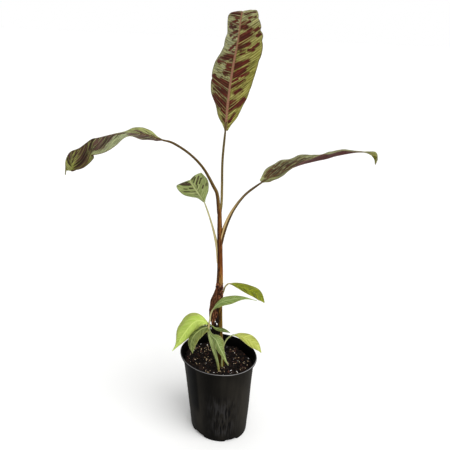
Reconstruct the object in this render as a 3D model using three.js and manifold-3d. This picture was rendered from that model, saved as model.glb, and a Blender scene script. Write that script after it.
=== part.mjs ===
// A young banana plant in a black nursery pot: a short pseudostem with four large leaves,
// a dry leaf sheath, and a sucker with small leaves at its foot.
// Millimetres, Z up. The origin is the centre of the pot's flat underside.
import * as THREE from 'three';
import { mergeVertices } from 'three/addons/utils/BufferGeometryUtils.js';
import Module from 'manifold-3d';

const clearance = 0.3; // air between touching pieces

const pot = {
  height: 178,
  rimRadius: 82.5,
  rimDepth: 4,
  wallTopRadius: 77,
  wallFootRadius: 62,
  footRadius: 60.5,
  heelHeight: 6,
  wall: 1.6,
  floor: 2.2,
  lipRound: 1, // bevel on the rim's outer top edge
  rimSlope: 1.5, // height over which the wall flares out to the rim
  stretch: 1.0536, // the soft pot is a little oval
  longAxis: -55, // degrees from +X
  lean: 0.04, // sideways shift towards -X for each millimetre of height
  segments: 48,
  notches: 5,
  firstNotch: -137, // degrees from +X
  notchWidth: 32,
  notchDepth: 3.5, // inwards from the foot's edge
  notchHeight: 6.5,
};

const soil = { top: 156, crown: 1.5, flatShare: 0.75 };

const stem = {
  line: [[0, -20, 148], [-2, -20, 180], [-4, -20, 210], [-7, -20, 267], [-9.5, -19, 312],
    [-10.5, -18.5, 340], [-11, -18, 377], [-13, -17, 419], [-15, -15.5, 465], [-17, -14, 506]],
  radii: [7.4, 5.9, 5.3, 5.1, 5.6, 6.6, 5.5, 5.1, 4.7, 4.2],
  sides: 12,
  steps: 28,
};

const sucker = {
  line: [[-3, -37, 148], [-8, -38, 177], [-13, -39.5, 197], [-19, -41, 218], [-26, -42.5, 244],
    [-29, -43.5, 261]],
  radii: [2.4, 2.4, 3.2, 4, 3.8, 2.4],
  sides: 10,
  steps: 12,
};

// Petioles run from inside what carries them to just short of their leaf's foot.
const petioles = {
  top_petiole: {
    line: [[-15.5, -11.5, 494], [-13.5, -9, 514], [-14, -5, 548], [-15, 0, 596], [-12.2, 4, 650.3]],
    radii: [2.6, 2.3, 2.1, 2, 2],
  },
  left_petiole: {
    line: [[-17.5, -14, 500], [-22, -15, 530], [-30, -16, 548], [-50, -20, 583], [-75, -23, 609],
      [-105, -26, 628.5], [-123.2, -27.9, 633.8]],
    radii: [3.7, 3.4, 3.1, 2.6, 2.3, 2.2, 2.2],
  },
  right_petiole: {
    line: [[-13, -16.5, 430], [-8, -16, 453], [0, -14.5, 480], [12, -13, 506], [32, -9, 533],
      [60.3, -4.1, 555.5]],
    radii: [4.2, 3.8, 3, 2.5, 2.2, 2.1],
  },
  small_petiole: {
    line: [[-15, -17, 396], [-18, -16, 420], [-22, -16, 440], [-28, -13.5, 462], [-37, -8.5, 488],
      [-46.7, -3.1, 511.4]],
    radii: [3.4, 3, 2.6, 2, 1.6, 1.5],
  },
  sucker_petiole_right: {
    line: [[-29, -44, 258], [-28.5, -45, 270], [-27, -45.5, 279], [-26.5, -46.3, 288],
      [-25.2, -46.3, 295.5], [-22.5, -46.1, 302.3]],
    radii: [1.6, 1.6, 1.5, 1.5, 1.5, 1.6],
  },
  node_petiole_right: {
    line: [[-8, -16, 318], [-2.5, -15.5, 328], [0.5, -14.5, 339], [4.5, -14.5, 344.5], [7.3, -14.8, 346.8]],
    radii: [1.9, 1.6, 1.5, 1.5, 1.5],
  },
  ground_petiole_right: {
    line: [[2, -27, 150], [1, -27, 180], [2, -27, 205], [8, -26, 225], [19.3, -26, 236.6]],
    radii: [2.2, 1.8, 1.6, 1.5, 1.5],
  },
};

// A blade hangs on its rib. The outline gives the width of the halves as a share of the width,
// evenly spaced from foot to tip, and outlineRight that of the right half where it differs.
// left and right give the angle of each half above (+) or below (-) the plane across the rib.
// face is where the upper side looks at the foot.
const blades = {
  top_leaf: {
    rib: [[-12, 4, 651], [-9, 11, 709], [-3, 19, 766], [4, 31, 812], [8, 46, 852], [11, 62, 862],
      [12, 82, 854], [11, 101, 832], [9, 111, 809]],
    face: [0, -1, 0],
    width: 45,
    outline: [0.05, 0.5, 0.85, 1, 1.05, 0.95, 0.8, 0.6, 0.45, 0.25, 0.05],
    outlineRight: [0.1, 0.55, 0.8, 0.95, 1, 1.05, 0.95, 0.7, 0.4, 0.2, 0.05],
    left: [-30, -30, -22, -22, -30, -42, -45, -25, 5, 15, 20],
    right: [0, -12, -12, -5, 3, 12, 18, 25, 32, 20, 5],
    curl: -25,
    thickness: 3.1,
  },
  left_leaf: {
    rib: [[-124, -28, 634], [-142, -32, 640], [-161, -37, 645], [-190, -44, 647], [-210, -48, 645],
      [-238, -53, 638], [-250, -55, 635], [-270, -59, 620], [-287, -61, 612], [-295, -63, 597],
      [-296, -64, 583], [-297, -65, 571]],
    face: [0, 0, 1],
    width: 42,
    outline: [0.05, 0.4, 0.7, 0.88, 0.95, 1, 1, 1, 1, 1.1, 1.2, 1.05, 0.8, 0.5, 0.03],
    outlineRight: [0.03, 0.5, 0.85, 0.95, 1, 0.95, 0.85, 0.75, 0.6, 0.35, 0.05],
    left: [-25, -10, -5, 3, -15, -25, -30, -30, -35, -45, -60],
    right: [10, 15, 7, -4, -10, -11, -13, -20, -30, -40, -50],
    curl: 0,
    thickness: 2.4,
  },
  right_leaf: {
    rib: [[61, -4, 556], [78, 0, 566], [95, 2, 573], [110, 4, 582], [135, 8, 592], [165, 12, 600],
      [183, 14, 604], [201, 15, 610], [236, 19, 617], [258, 22, 618], [277, 23, 619], [283, 24, 606],
      [281, 26, 594]],
    face: [0, 0, 1],
    width: 38,
    outline: [0.05, 0.6, 0.87, 1, 1, 0.95, 0.85, 0.75, 0.65, 0.55, 0.45, 0.3, 0.05],
    left: [30, 25, 22, 17, 8, 11, 7, 0, -4, -5, -6, -9, -13, -25, -40],
    right: [-7, 0, 8, 14, 22, 28, 32, 34, 34, 37, 29, 15, -3, -27, -50],
    curl: 0,
    thickness: 2.6,
  },
  small_leaf: {
    rib: [[-47, -3, 512], [-58, -1, 527], [-69, 4, 541], [-76, 13, 550], [-73, 26, 546],
      [-67, 39, 537], [-59, 48, 525]],
    face: [0, -1, 0],
    width: 33,
    outline: [0.15, 0.6, 0.85, 0.9, 0.9, 0.7, 0.4, 0.05],
    outlineRight: [0.1, 0.65, 0.95, 0.9, 0.75, 0.55, 0.35, 0.05],
    left: [-64, -44, -17, 10, 26, 28, 25],
    right: [46, 25, 10, 5, 3, -3, -10],
    curl: -8,
    thickness: 1.8,
  },
  sucker_leaf_left: {
    rib: [[-31, -43, 267], [-34, -45, 274], [-45, -46, 278], [-58, -47, 274], [-71, -50, 259],
      [-81, -52, 244], [-89, -55, 229], [-100, -57, 212]],
    face: [0, -1, 0],
    width: 25,
    outline: [0.05, 0.4, 0.6, 0.75, 0.9, 0.9, 0.75, 0.5, 0.2, 0.03],
    outlineRight: [0.05, 0.2, 0.6, 0.9, 1, 0.95, 0.75, 0.4, 0.1, 0.03],
    left: [20, -10, -30, -45, -45, -50, -45],
    right: [20, 0, -20, -30, -25, -30, -30],
    roll: [20, 30, 35, 35],
    curl: -15,
    thickness: 1.6,
  },
  sucker_leaf_low: {
    rib: [[-30, -44, 264], [-42, -46, 260], [-51, -48, 253], [-59, -51, 244], [-63, -53, 230],
      [-62, -54, 220], [-59, -55, 208]],
    face: [0, -1, 0],
    width: 13,
    outline: [0.15, 0.65, 0.9, 1, 0.9, 0.6, 0.05],
    outlineRight: [0.1, 0.55, 0.85, 1, 0.9, 0.55, 0.05],
    left: [3, 0, 0, -3, -7],
    right: [-90, -85, -75, -40, -20],
    roll: [20, 30],
    curl: 0,
    thickness: 1.4,
  },
  sucker_leaf_front: {
    rib: [[-29, -46, 264], [-23, -50, 249], [-13, -53, 240], [-6, -56, 226], [3, -58, 210],
      [9, -60, 197], [14, -61, 187]],
    face: [0, -1, 0.3],
    width: 13,
    outline: [0.1, 0.45, 0.9, 1, 0.8, 0.5, 0.25, 0.05],
    outlineRight: [0.1, 0.4, 0.75, 0.9, 0.8, 0.5, 0.25, 0.05],
    left: [70, 40, -18, -50, -65],
    right: [-65, -50, -35, -20, -5],
    curl: -10,
    thickness: 1.4,
  },
  sucker_leaf_cross: {
    rib: [[-28, -43, 267.5], [-23, -44, 267], [-16, -44, 262], [-7, -42, 258], [5, -40, 254],
      [15, -38, 249]],
    face: [0, -0.3, 1],
    width: 8,
    outline: [0.12, 0.12, 0.35, 0.75, 0.9, 0.65, 0.1],
    outlineRight: [0.12, 0.25, 0.65, 0.85, 0.8, 0.55, 0.1],
    left: [0, -7, -6],
    right: [-16, 2, 9],
    curl: 0,
    thickness: 1.4,
  },
  sucker_leaf_right: {
    rib: [[-22, -46, 303], [-14, -44, 312], [-2, -43, 321], [11, -41, 324], [25, -39, 327],
      [39, -38, 328], [51, -37, 326], [65, -36, 322]],
    face: [-0.5, -0.5, 0.9],
    width: 13,
    outline: [0.12, 0.73, 0.97, 0.9, 0.62, 0.3, 0.1, 0.05],
    left: [-20, -12, -4, -2, 0],
    right: [28, 18, 9, 4, 0],
    curl: -10,
    thickness: 1.4,
  },
  node_leaf_right: {
    rib: [[8, -15, 347], [19, -16, 346], [33, -18, 342], [49, -20, 337], [63, -22, 332],
      [73, -23, 323], [81, -24, 313]],
    face: [0, -0.45, 0.9],
    width: 13,
    outline: [0.12, 0.7, 1, 1, 0.75, 0.1],
    left: [-11, -8, 2, 14, 23],
    right: [29, 28, 19, 3, -12],
    curl: -10,
    thickness: 1.4,
  },
  ground_leaf_right: {
    rib: [[20, -26, 237], [32, -27, 237], [45, -28, 233], [58, -29, 227], [69, -30, 219],
      [75, -30, 212], [81, -31, 202]],
    face: [0, -0.45, 0.9],
    width: 14,
    outline: [0.1, 0.7, 1, 1, 0.7, 0.1],
    left: [-19, -9, 0, -2, -2],
    right: [41, 28, 14, 12, 10],
    curl: -10,
    thickness: 1.4,
  },
};

// The dead sheath hangs from the stem's swollen node down to the sucker's top.
const drySheath = {
  rib: [[-14, -27, 344], [-18.5, -28.5, 325], [-21, -30.5, 308], [-21, -33, 291], [-21, -36, 275],
    [-21, -38, 267]],
  face: [0, -1, 0],
  width: 9.5,
  outline: [0.35, 0.6, 0.85, 1, 0.9, 0.3],
  left: [-25, -25, -15],
  right: [-25, -25, -15],
  curl: -20,
  thickness: 2.6,
};

const largeBladeGrid = { across: 3, along: 20 };
const smallBladeGrid = { across: 2, along: 11 };
const ribSamples = 96;

// Colour and roughness of each surface
const surfaces = {
  blackPlastic: [0x151516, 0.35],
  pottingMix: [0x2b1f19, 0.95],
  brownStem: [0x5b3a1c, 0.6],
  paleStem: [0xa3a07a, 0.55],
  brownPetiole: [0x4a3416, 0.55],
  olivePetiole: [0x6b6330, 0.55],
  drySheath: [0x3b2415, 0.85],
  patternedLeaf: [0x8a8f4f, 0.5],
  sageLeaf: [0x8ea262, 0.5],
  brightLeaf: [0xa7c455, 0.5],
  oliveLeaf: [0x6f7a1c, 0.5],
  yellowLeaf: [0xbdb94f, 0.5],
};

const wasm = await Module();
wasm.setup();

// Solids and meshes

function solidFrom(geometry) {
  const bare = geometry.clone();
  bare.deleteAttribute('normal');
  bare.deleteAttribute('uv');
  const merged = mergeVertices(bare, 1e-4);
  const vertProperties = new Float32Array(merged.attributes.position.array);
  const triVerts = new Uint32Array(merged.index.array);
  return new wasm.Manifold(new wasm.Mesh({ numProp: 3, vertProperties, triVerts }));
}

function rightWayOut(solid, geometry) {
  if (solid.volume() > 0) return solid;
  const flipped = geometry.clone();
  const index = flipped.index.array;
  for (let k = 0; k < index.length; k += 3) {
    [index[k + 1], index[k + 2]] = [index[k + 2], index[k + 1]];
  }
  return solidFrom(flipped);
}

function geometryFrom(solid) {
  const mesh = solid.getMesh();
  const geometry = new THREE.BufferGeometry();
  geometry.setAttribute('position', new THREE.BufferAttribute(new Float32Array(mesh.vertProperties), 3));
  geometry.setIndex(new THREE.BufferAttribute(new Uint32Array(mesh.triVerts), 1));
  return geometry;
}

function largestPiece(solid) {
  const pieces = solid.decompose();
  return pieces.reduce((best, piece) => (piece.volume() > best.volume() ? piece : best));
}

function cutClear(solid, neighbours) {
  let result = solid;
  for (const neighbour of neighbours) result = result.subtract(neighbour);
  return largestPiece(result);
}

function slab(bottom, top) {
  const size = 600;
  const box = new THREE.BoxGeometry(size, size, top - bottom);
  box.translate(0, 0, (top + bottom) / 2);
  return solidFrom(box);
}

// Values given at even steps, joined by one smooth curve

function smoothValue(values, t) {
  const last = values.length - 1;
  const place = Math.min(Math.max(t, 0), 1) * last;
  const i = Math.min(Math.floor(place), last - 1);
  const w = place - i;
  const p0 = values[Math.max(i - 1, 0)];
  const p1 = values[i];
  const p2 = values[i + 1];
  const p3 = values[Math.min(i + 2, last)];
  return 0.5 * (2 * p1 + (p2 - p0) * w + (2 * p0 - 5 * p1 + 4 * p2 - p3) * w ** 2
    + (3 * p1 - p0 - 3 * p2 + p3) * w ** 3);
}

function smoothLine(points) {
  return new THREE.CatmullRomCurve3(points.map((p) => new THREE.Vector3(...p)), false, 'catmullrom', 0.5);
}

// Frames along a line whose normal turns no more than the line does

function lineFrames(points, face, roll) {
  const curve = smoothLine(points);
  const normal = new THREE.Vector3(...face).normalize();
  const frames = [];
  for (let k = 0; k <= ribSamples; k += 1) {
    const t = k / ribSamples;
    const tangent = curve.getTangentAt(t);
    normal.addScaledVector(tangent, -normal.dot(tangent)).normalize();
    const angle = THREE.MathUtils.degToRad(smoothValue(roll, t));
    const turned = normal.clone().applyAxisAngle(tangent, angle);
    frames.push({
      point: curve.getPointAt(t),
      tangent,
      normal: turned,
      side: new THREE.Vector3().crossVectors(tangent, turned),
    });
  }
  return frames;
}

function frameAt(frames, t) {
  const place = t * ribSamples;
  const i = Math.min(Math.floor(place), ribSamples - 1);
  const w = place - i;
  const mix = (key) => frames[i][key].clone().lerp(frames[i + 1][key], w);
  return { point: mix('point'), normal: mix('normal').normalize(), side: mix('side').normalize() };
}

// A round, tapering limb along a line, grown by a margin on all sides

function limb({ line, radii, sides = 8, steps = 14 }, margin = 0) {
  const frames = lineFrames(line, [0.3, -1, 0.2], [0, 0]);
  const geometry = new THREE.CylinderGeometry(1, 1, 1, sides, steps);
  const position = geometry.attributes.position;
  const vertex = new THREE.Vector3();
  for (let k = 0; k < position.count; k += 1) {
    vertex.fromBufferAttribute(position, k);
    const t = vertex.y + 0.5;
    const { point, normal, side } = frameAt(frames, t);
    const radius = smoothValue(radii, t) + margin;
    if (t === 0) point.addScaledVector(frames[0].tangent, -margin);
    if (t === 1) point.addScaledVector(frames[ribSamples].tangent, margin);
    point.addScaledVector(side, vertex.x * radius).addScaledVector(normal, vertex.z * radius);
    position.setXYZ(k, point.x, point.y, point.z);
  }
  return rightWayOut(solidFrom(geometry), geometry);
}

// A leaf blade: a flat box bent to the rib, the outline and the fold of each half

function blade(spec, grid, margin = 0) {
  const { rib, face, width, outline, left, right, curl, thickness } = spec;
  const { outlineRight = outline, roll = [0, 0] } = spec;
  const frames = lineFrames(rib, face, roll);
  const geometry = new THREE.BoxGeometry(2, 1, 1, 2 * grid.across, 1, grid.along);
  const position = geometry.attributes.position;
  const vertex = new THREE.Vector3();
  for (let k = 0; k < position.count; k += 1) {
    vertex.fromBufferAttribute(position, k);
    const t = vertex.z + 0.5;
    const { point, normal, side } = frameAt(frames, t);
    const share = Math.abs(vertex.x);
    const hand = Math.sign(vertex.x);
    const halfWidth = width * smoothValue(hand < 0 ? outline : outlineRight, t) + margin;
    const fold = smoothValue(hand < 0 ? left : right, t);
    const stepCount = Math.round(share * grid.across);
    let angle = 0;
    for (let step = 0; step < stepCount; step += 1) {
      angle = THREE.MathUtils.degToRad(fold + curl * ((step + 0.5) / grid.across));
      const length = halfWidth / grid.across;
      point.addScaledVector(side, hand * length * Math.cos(angle));
      point.addScaledVector(normal, length * Math.sin(angle));
    }
    const lift = vertex.y * (thickness + 2 * margin);
    point.addScaledVector(normal, lift * Math.cos(angle));
    point.addScaledVector(side, -hand * lift * Math.sin(angle));
    position.setXYZ(k, point.x, point.y, point.z);
  }
  return rightWayOut(solidFrom(geometry), geometry);
}

// The soft pot is round in plan, then stretched along one axis and leant

function softPotMatrix() {
  const angle = THREE.MathUtils.degToRad(pot.longAxis);
  const lean = new THREE.Matrix4().set(1, 0, -pot.lean, 0, 0, 1, 0, 0, 0, 0, 1, 0, 0, 0, 0, 1);
  return lean
    .multiply(new THREE.Matrix4().makeRotationZ(angle))
    .multiply(new THREE.Matrix4().makeScale(pot.stretch, 1 / pot.stretch, 1))
    .multiply(new THREE.Matrix4().makeRotationZ(-angle));
}

function lathed(profile) {
  const points = profile.map(([r, z]) => new THREE.Vector2(r, z));
  const geometry = new THREE.LatheGeometry(points, pot.segments);
  geometry.rotateX(Math.PI / 2);
  geometry.applyMatrix4(softPotMatrix());
  return rightWayOut(solidFrom(geometry), geometry);
}

function wallRadius(z) {
  const share = (z - pot.heelHeight) / (pot.height - pot.heelHeight);
  return pot.wallFootRadius + (pot.wallTopRadius - pot.wallFootRadius) * share;
}

function makePot() {
  const { height, rimRadius, rimDepth, rimSlope, lipRound, footRadius, heelHeight, wall, floor } = pot;
  const underRim = height - 2.5 * rimDepth;
  const shell = lathed([
    [0, 0],
    [footRadius, 0],
    [wallRadius(heelHeight / 2), heelHeight / 2],
    [wallRadius(heelHeight), heelHeight],
    [wallRadius(underRim), underRim],
    [wallRadius(height) + wall / 2, height - rimDepth - rimSlope],
    [rimRadius, height - rimDepth],
    [rimRadius, height - lipRound],
    [rimRadius - lipRound, height],
    [wallRadius(height) - wall / 2, height],
    [wallRadius(height) - 1.4 * wall, height - rimSlope],
    [wallRadius(underRim) - wall, underRim],
    [wallRadius(heelHeight) - wall, heelHeight],
    [footRadius - wall, floor],
    [0, floor],
  ]);
  const cutters = [];
  for (let k = 0; k < pot.notches; k += 1) {
    const notch = new THREE.BoxGeometry(2 * pot.notchDepth, pot.notchWidth, 2 * pot.notchHeight);
    notch.translate(footRadius, 0, 0);
    notch.rotateZ(THREE.MathUtils.degToRad(pot.firstNotch + (360 * k) / pot.notches));
    notch.applyMatrix4(softPotMatrix());
    cutters.push(solidFrom(notch));
  }
  return cutClear(shell, cutters);
}

function makeSoil() {
  const { top, crown, flatShare } = soil;
  const bottom = pot.notchHeight + clearance;
  const heel = bottom + 3;
  const inner = (z) => wallRadius(z) - pot.wall - 1.3 * clearance;
  return lathed([
    [0, bottom],
    [inner(bottom) - 1, bottom],
    [inner(heel), heel],
    [inner(top - crown), top - crown],
    [inner(top) * flatShare, top],
    [0, top],
  ]);
}

const model = new THREE.Group();

function addPart(name, solid, [color, roughness]) {
  const material = new THREE.MeshStandardMaterial({ color, roughness, metalness: 0, flatShading: true });
  const mesh = new THREE.Mesh(geometryFrom(solid), material);
  mesh.name = name;
  model.add(mesh);
}

// Pot and soil

addPart('pot', makePot(), surfaces.blackPlastic);
addPart('potting_soil', makeSoil(), surfaces.pottingMix);

// Stems, cut flat where they stand on the soil

const underground = slab(-10, soil.top + clearance);
const stemSpace = limb(stem, clearance);
addPart('pseudostem', cutClear(limb(stem), [underground]), surfaces.brownStem);
addPart('sucker_stem', cutClear(limb(sucker), [underground, stemSpace]), surfaces.paleStem);

// Everything placed so far, grown by the clearance, is cut away from the next piece
const taken = [underground, stemSpace, limb(sucker, clearance)];

addPart('dry_sheath', cutClear(blade(drySheath, smallBladeGrid), taken), surfaces.drySheath);
taken.push(blade(drySheath, smallBladeGrid, clearance));

// Petioles: the left one carries on the stem's line, so it comes first

const petioleSurfaces = {
  left_petiole: surfaces.brownPetiole,
  top_petiole: surfaces.olivePetiole,
  right_petiole: surfaces.brownPetiole,
  small_petiole: surfaces.paleStem,
  sucker_petiole_right: surfaces.paleStem,
  node_petiole_right: surfaces.brownPetiole,
  ground_petiole_right: surfaces.paleStem,
};
for (const [name, surface] of Object.entries(petioleSurfaces)) {
  addPart(name, cutClear(limb(petioles[name]), taken), surface);
  taken.push(limb(petioles[name], clearance));
}

// Leaves

const largeLeaves = ['top_leaf', 'left_leaf', 'right_leaf', 'small_leaf'];
const leafSurfaces = {
  top_leaf: surfaces.patternedLeaf,
  left_leaf: surfaces.patternedLeaf,
  right_leaf: surfaces.patternedLeaf,
  sucker_leaf_left: surfaces.brightLeaf,
  sucker_leaf_low: surfaces.oliveLeaf,
  node_leaf_right: surfaces.oliveLeaf,
  ground_leaf_right: surfaces.yellowLeaf,
};
for (const [name, spec] of Object.entries(blades)) {
  const grid = largeLeaves.includes(name) ? largeBladeGrid : smallBladeGrid;
  addPart(name, cutClear(blade(spec, grid), taken), leafSurfaces[name] ?? surfaces.sageLeaf);
  taken.push(blade(spec, grid, clearance));
}

export default model;
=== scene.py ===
import functools
import itertools
import math

import bpy
import numpy as np
from mathutils import Matrix, Vector


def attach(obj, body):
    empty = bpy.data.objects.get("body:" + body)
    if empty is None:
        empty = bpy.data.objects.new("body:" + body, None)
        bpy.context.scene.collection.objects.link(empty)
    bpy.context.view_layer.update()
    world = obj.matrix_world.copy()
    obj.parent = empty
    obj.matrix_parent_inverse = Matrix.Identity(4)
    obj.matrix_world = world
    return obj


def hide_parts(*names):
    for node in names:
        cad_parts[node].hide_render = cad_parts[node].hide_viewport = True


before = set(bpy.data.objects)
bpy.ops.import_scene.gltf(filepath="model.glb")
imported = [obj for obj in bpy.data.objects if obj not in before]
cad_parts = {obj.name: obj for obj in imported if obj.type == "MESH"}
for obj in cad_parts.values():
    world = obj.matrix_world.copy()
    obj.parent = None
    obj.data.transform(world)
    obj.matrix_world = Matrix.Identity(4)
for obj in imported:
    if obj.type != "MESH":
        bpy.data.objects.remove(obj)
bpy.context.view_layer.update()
print("frame loaded:", len(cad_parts), "nodes")

mm = 0.001  # lengths below are written in millimetres and made metres by this

# Smooth lines, soft noise and closed meshes that every piece uses


def throughPoints(padded, i, w):
    # a smooth curve through four neighbours, at the share w between the middle two
    a, b, c, d = (padded[i + k] for k in range(4))
    return 0.5 * (2 * b + (c - a) * w + (2 * a - 5 * b + 4 * c - d) * w**2 + (3 * b - a - 3 * c + d) * w**3)


def smoothValues(values, t):
    given = np.array(values, float)
    place = np.clip(t, 0, 1) * (len(given) - 1)
    i = np.minimum(place.astype(int), len(given) - 2)
    return throughPoints(np.concatenate([given[:1], given, given[-1:]]), i, place - i)


def smoothLine(points, steps):
    given = np.array(points, float) * mm
    padded = np.vstack([2 * given[0] - given[1], given, 2 * given[-1] - given[-2]])
    spans = len(given) - 1
    t = np.linspace(0, spans, spans * 60 + 1)
    i = np.minimum(t.astype(int), spans - 1)
    fine = throughPoints(padded, i, (t - i)[:, None])
    run = np.concatenate([[0], np.cumsum(np.linalg.norm(np.diff(fine, axis=0), axis=1))])
    even = np.linspace(0, run[-1], steps + 1)
    return np.stack([np.interp(even, run, fine[:, k]) for k in range(3)], 1), run[-1]


def unit(vectors):
    return vectors / np.maximum(np.linalg.norm(vectors, axis=-1, keepdims=True), 1e-12)


def lineFrames(points, face, steps, roll=(0, 0)):
    # the normal starts at face and turns no more than the line does
    line, length = smoothLine(points, steps)
    tangent = unit(np.gradient(line, axis=0))
    normal = np.zeros_like(line)
    current = np.array(face, float)
    for k in range(steps + 1):
        current = current - current.dot(tangent[k]) * tangent[k]
        current = current / np.linalg.norm(current)
        normal[k] = current
    turn = np.radians(smoothValues(roll, np.linspace(0, 1, steps + 1)))[:, None]
    rolled = normal * np.cos(turn) + np.cross(tangent, normal) * np.sin(turn)
    return line, tangent, rolled, np.cross(tangent, rolled), length


def stacked(*parts):
    # numbers or grids side by side along a new last axis
    return np.stack(np.broadcast_arrays(*parts), -1)


def roundAngles(count):
    return np.arange(count) * 2 * math.pi / count


@functools.cache
def noiseTable(seed):
    return np.random.default_rng(seed).uniform(-1, 1, (32, 32, 32))


def softNoise(places, size, seed):
    # smooth random values from -1 to 1, one lattice cell for each size
    scaled = np.asarray(places, float) / size
    cell = np.floor(scaled).astype(int)
    w = scaled - cell
    w = w * w * (3 - 2 * w)
    total = 0
    for corner in itertools.product((0, 1), repeat=3):
        share = np.prod(np.where(corner, w, 1 - w), axis=-1)
        total = total + share * noiseTable(seed)[tuple(np.moveaxis((cell + corner) % 32, -1, 0))]
    return total


def softStep(low, high, values):
    w = np.clip((values - low) / (high - low), 0, 1)
    return w * w * (3 - 2 * w)


def bump(values, middle, width):
    return np.exp(-((values - middle) / width) ** 2)


def gridFaces(rows, columns, start=0, wrap=False):
    # quads between neighbouring rows, the columns closed into a ring if wrap is set
    r, c = np.meshgrid(np.arange(rows - 1), np.arange(columns if wrap else columns - 1), indexing="ij")
    row, above, after = r * columns + start, (r + 1) * columns + start, (c + 1) % columns
    return stacked(row + c, row + after, above + after, above + c).reshape(-1, 4)


def tubeFaces(rows, around, start=0):
    # quads round a tube and a face over each end
    first = [start + k for k in range(around)]
    last = [(rows - 1) * around + v for v in first]
    return [*gridFaces(rows, around, start, wrap=True), first[::-1], last]


def addObject(name, data):
    thing = bpy.data.objects.new(name, data)
    bpy.context.scene.collection.objects.link(thing)
    return thing


def makePiece(name, places, faces, values=None, smooth=True):
    # values hold numbers for each place, or fewer that spread over the grid of places
    places = np.asarray(places, float)
    mesh = bpy.data.meshes.new(name)
    mesh.from_pydata(places.reshape(-1, 3).tolist(), [], [list(map(int, f)) for f in faces])
    mesh.validate()
    for key, numbers in (values or {}).items():
        spread = np.broadcast_to(numbers, places.shape[:-1]).astype(np.float32)
        mesh.attributes.new(key, "FLOAT", "POINT").data.foreach_set("value", spread.ravel())
    if smooth:
        mesh.shade_smooth()
    return addObject(name, mesh)


def joinTubes(name, tubes, smooth=True):
    # many small tubes of one build in one mesh
    rows, around = tubes[0].shape[:2]
    faces = [face for k in range(len(tubes)) for face in tubeFaces(rows, around, k * rows * around)]
    return makePiece(name, np.stack(tubes), faces, smooth=smooth)


def closedSheet(name, upper, lower, values):
    # two grids joined round their edge
    rows, columns = upper.shape[:2]
    count = rows * columns
    index = np.arange(count).reshape(rows, columns)
    rim = np.concatenate([index[0], index[1:, -1], index[-1, -2::-1], index[-2:0:-1, 0]])
    after = np.roll(rim, -1)
    faces = [gridFaces(rows, columns)[:, ::-1], gridFaces(rows, columns, count),
             np.stack([rim, after, after + count, rim + count], 1)]
    return makePiece(name, np.stack([upper, lower]), np.vstack(faces), {**values, "upper": [[[1]], [[0]]]})


def dress(piece, material, nodes=()):
    piece.data.materials.append(material)
    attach(piece, "root")
    if nodes:
        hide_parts(*nodes)
    return piece


def rgb(red, green, blue):
    # a colour as a picture shows it, from 0 to 255, made linear
    shares = [part / 255 for part in (red, green, blue)]
    return tuple(s / 12.92 if s <= 0.04045 else ((s + 0.055) / 1.055) ** 2.4 for s in shares)


class Finish:
    # the nodes of a material or of the world, with a short call for each kind; a tuple is a colour for rgb
    def __init__(self, owner):
        owner.use_nodes = True
        self.owner = owner
        self.nodes = owner.node_tree.nodes
        self.links = owner.node_tree.links

    def plug(self, socket, value):
        if isinstance(value, bpy.types.NodeSocket):
            self.links.new(value, socket)
        else:
            socket.default_value = (*rgb(*value), 1) if isinstance(value, tuple) else value

    def feed(self, node, values):
        for socket, value in zip(node.inputs, values):
            self.plug(socket, value)
        return node.outputs[0]

    def reading(self, name):
        node = self.nodes.new("ShaderNodeAttribute")
        node.attribute_name = name
        return node.outputs["Fac"]

    def calc(self, operation, *values):
        node = self.nodes.new("ShaderNodeMath")
        node.operation = operation
        return self.feed(node, values)

    def times(self, a, b):
        return self.calc("MULTIPLY", a, b)

    def plus(self, a, b):
        return self.calc("ADD", a, b)

    def wave(self, value, length):
        return self.calc("SINE", self.times(value, 2 * math.pi / length))

    def between(self, value, low, high, start=0.0, end=1.0):
        node = self.nodes.new("ShaderNodeMapRange")
        node.interpolation_type = "SMOOTHSTEP"
        return self.feed(node, (value, low, high, start, end))

    def blend(self, share, under, over, mode="MIX"):
        node = self.nodes.new("ShaderNodeMix")
        node.data_type = "RGBA"
        node.blend_type = mode
        for place, value in ((0, share), (6, under), (7, over)):
            self.plug(node.inputs[place], value)
        return node.outputs[2]

    def joined(self, *parts):
        return self.feed(self.nodes.new("ShaderNodeCombineXYZ"), parts)

    def grain(self, place, scale, detail=3.0, roughness=0.55, stretch=(1, 1, 1)):
        spread = self.nodes.new("ShaderNodeMapping")
        spread.inputs["Scale"].default_value = stretch
        self.plug(spread.inputs["Vector"], place)
        node = self.nodes.new("ShaderNodeTexNoise")
        for name, value in (("Vector", spread.outputs[0]), ("Scale", scale), ("Detail", detail),
                            ("Roughness", roughness)):
            self.plug(node.inputs[name], value)
        return node.outputs["Fac"]

    def place(self):
        return self.nodes.new("ShaderNodeTexCoord").outputs["Object"]

    def colourRun(self, value, stops):
        node = self.nodes.new("ShaderNodeValToRGB")
        while len(node.color_ramp.elements) < len(stops):
            node.color_ramp.elements.new(0.5)
        for element, (place, colour) in zip(node.color_ramp.elements, stops):
            element.position = place
            element.color = (*rgb(*colour), 1)
        self.plug(node.inputs[0], value)
        return node.outputs["Color"]

    def done(self, shade, roughness, shine, height, distance, strength=1.0):
        # colour, roughness, a constant specular level and relief, joined to the material's own shader
        relief = self.nodes.new("ShaderNodeBump")
        relief.inputs["Strength"].default_value = strength
        relief.inputs["Distance"].default_value = distance
        self.plug(relief.inputs["Height"], height)
        shader = self.nodes["Principled BSDF"]
        shader.inputs["Specular IOR Level"].default_value = shine
        for name, value in (("Base Color", shade), ("Roughness", roughness), ("Normal", relief.outputs[0])):
            self.plug(shader.inputs[name], value)
        return self.owner


def newFinish(name):
    return Finish(bpy.data.materials.new(name))


# Camera, light and floor

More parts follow.
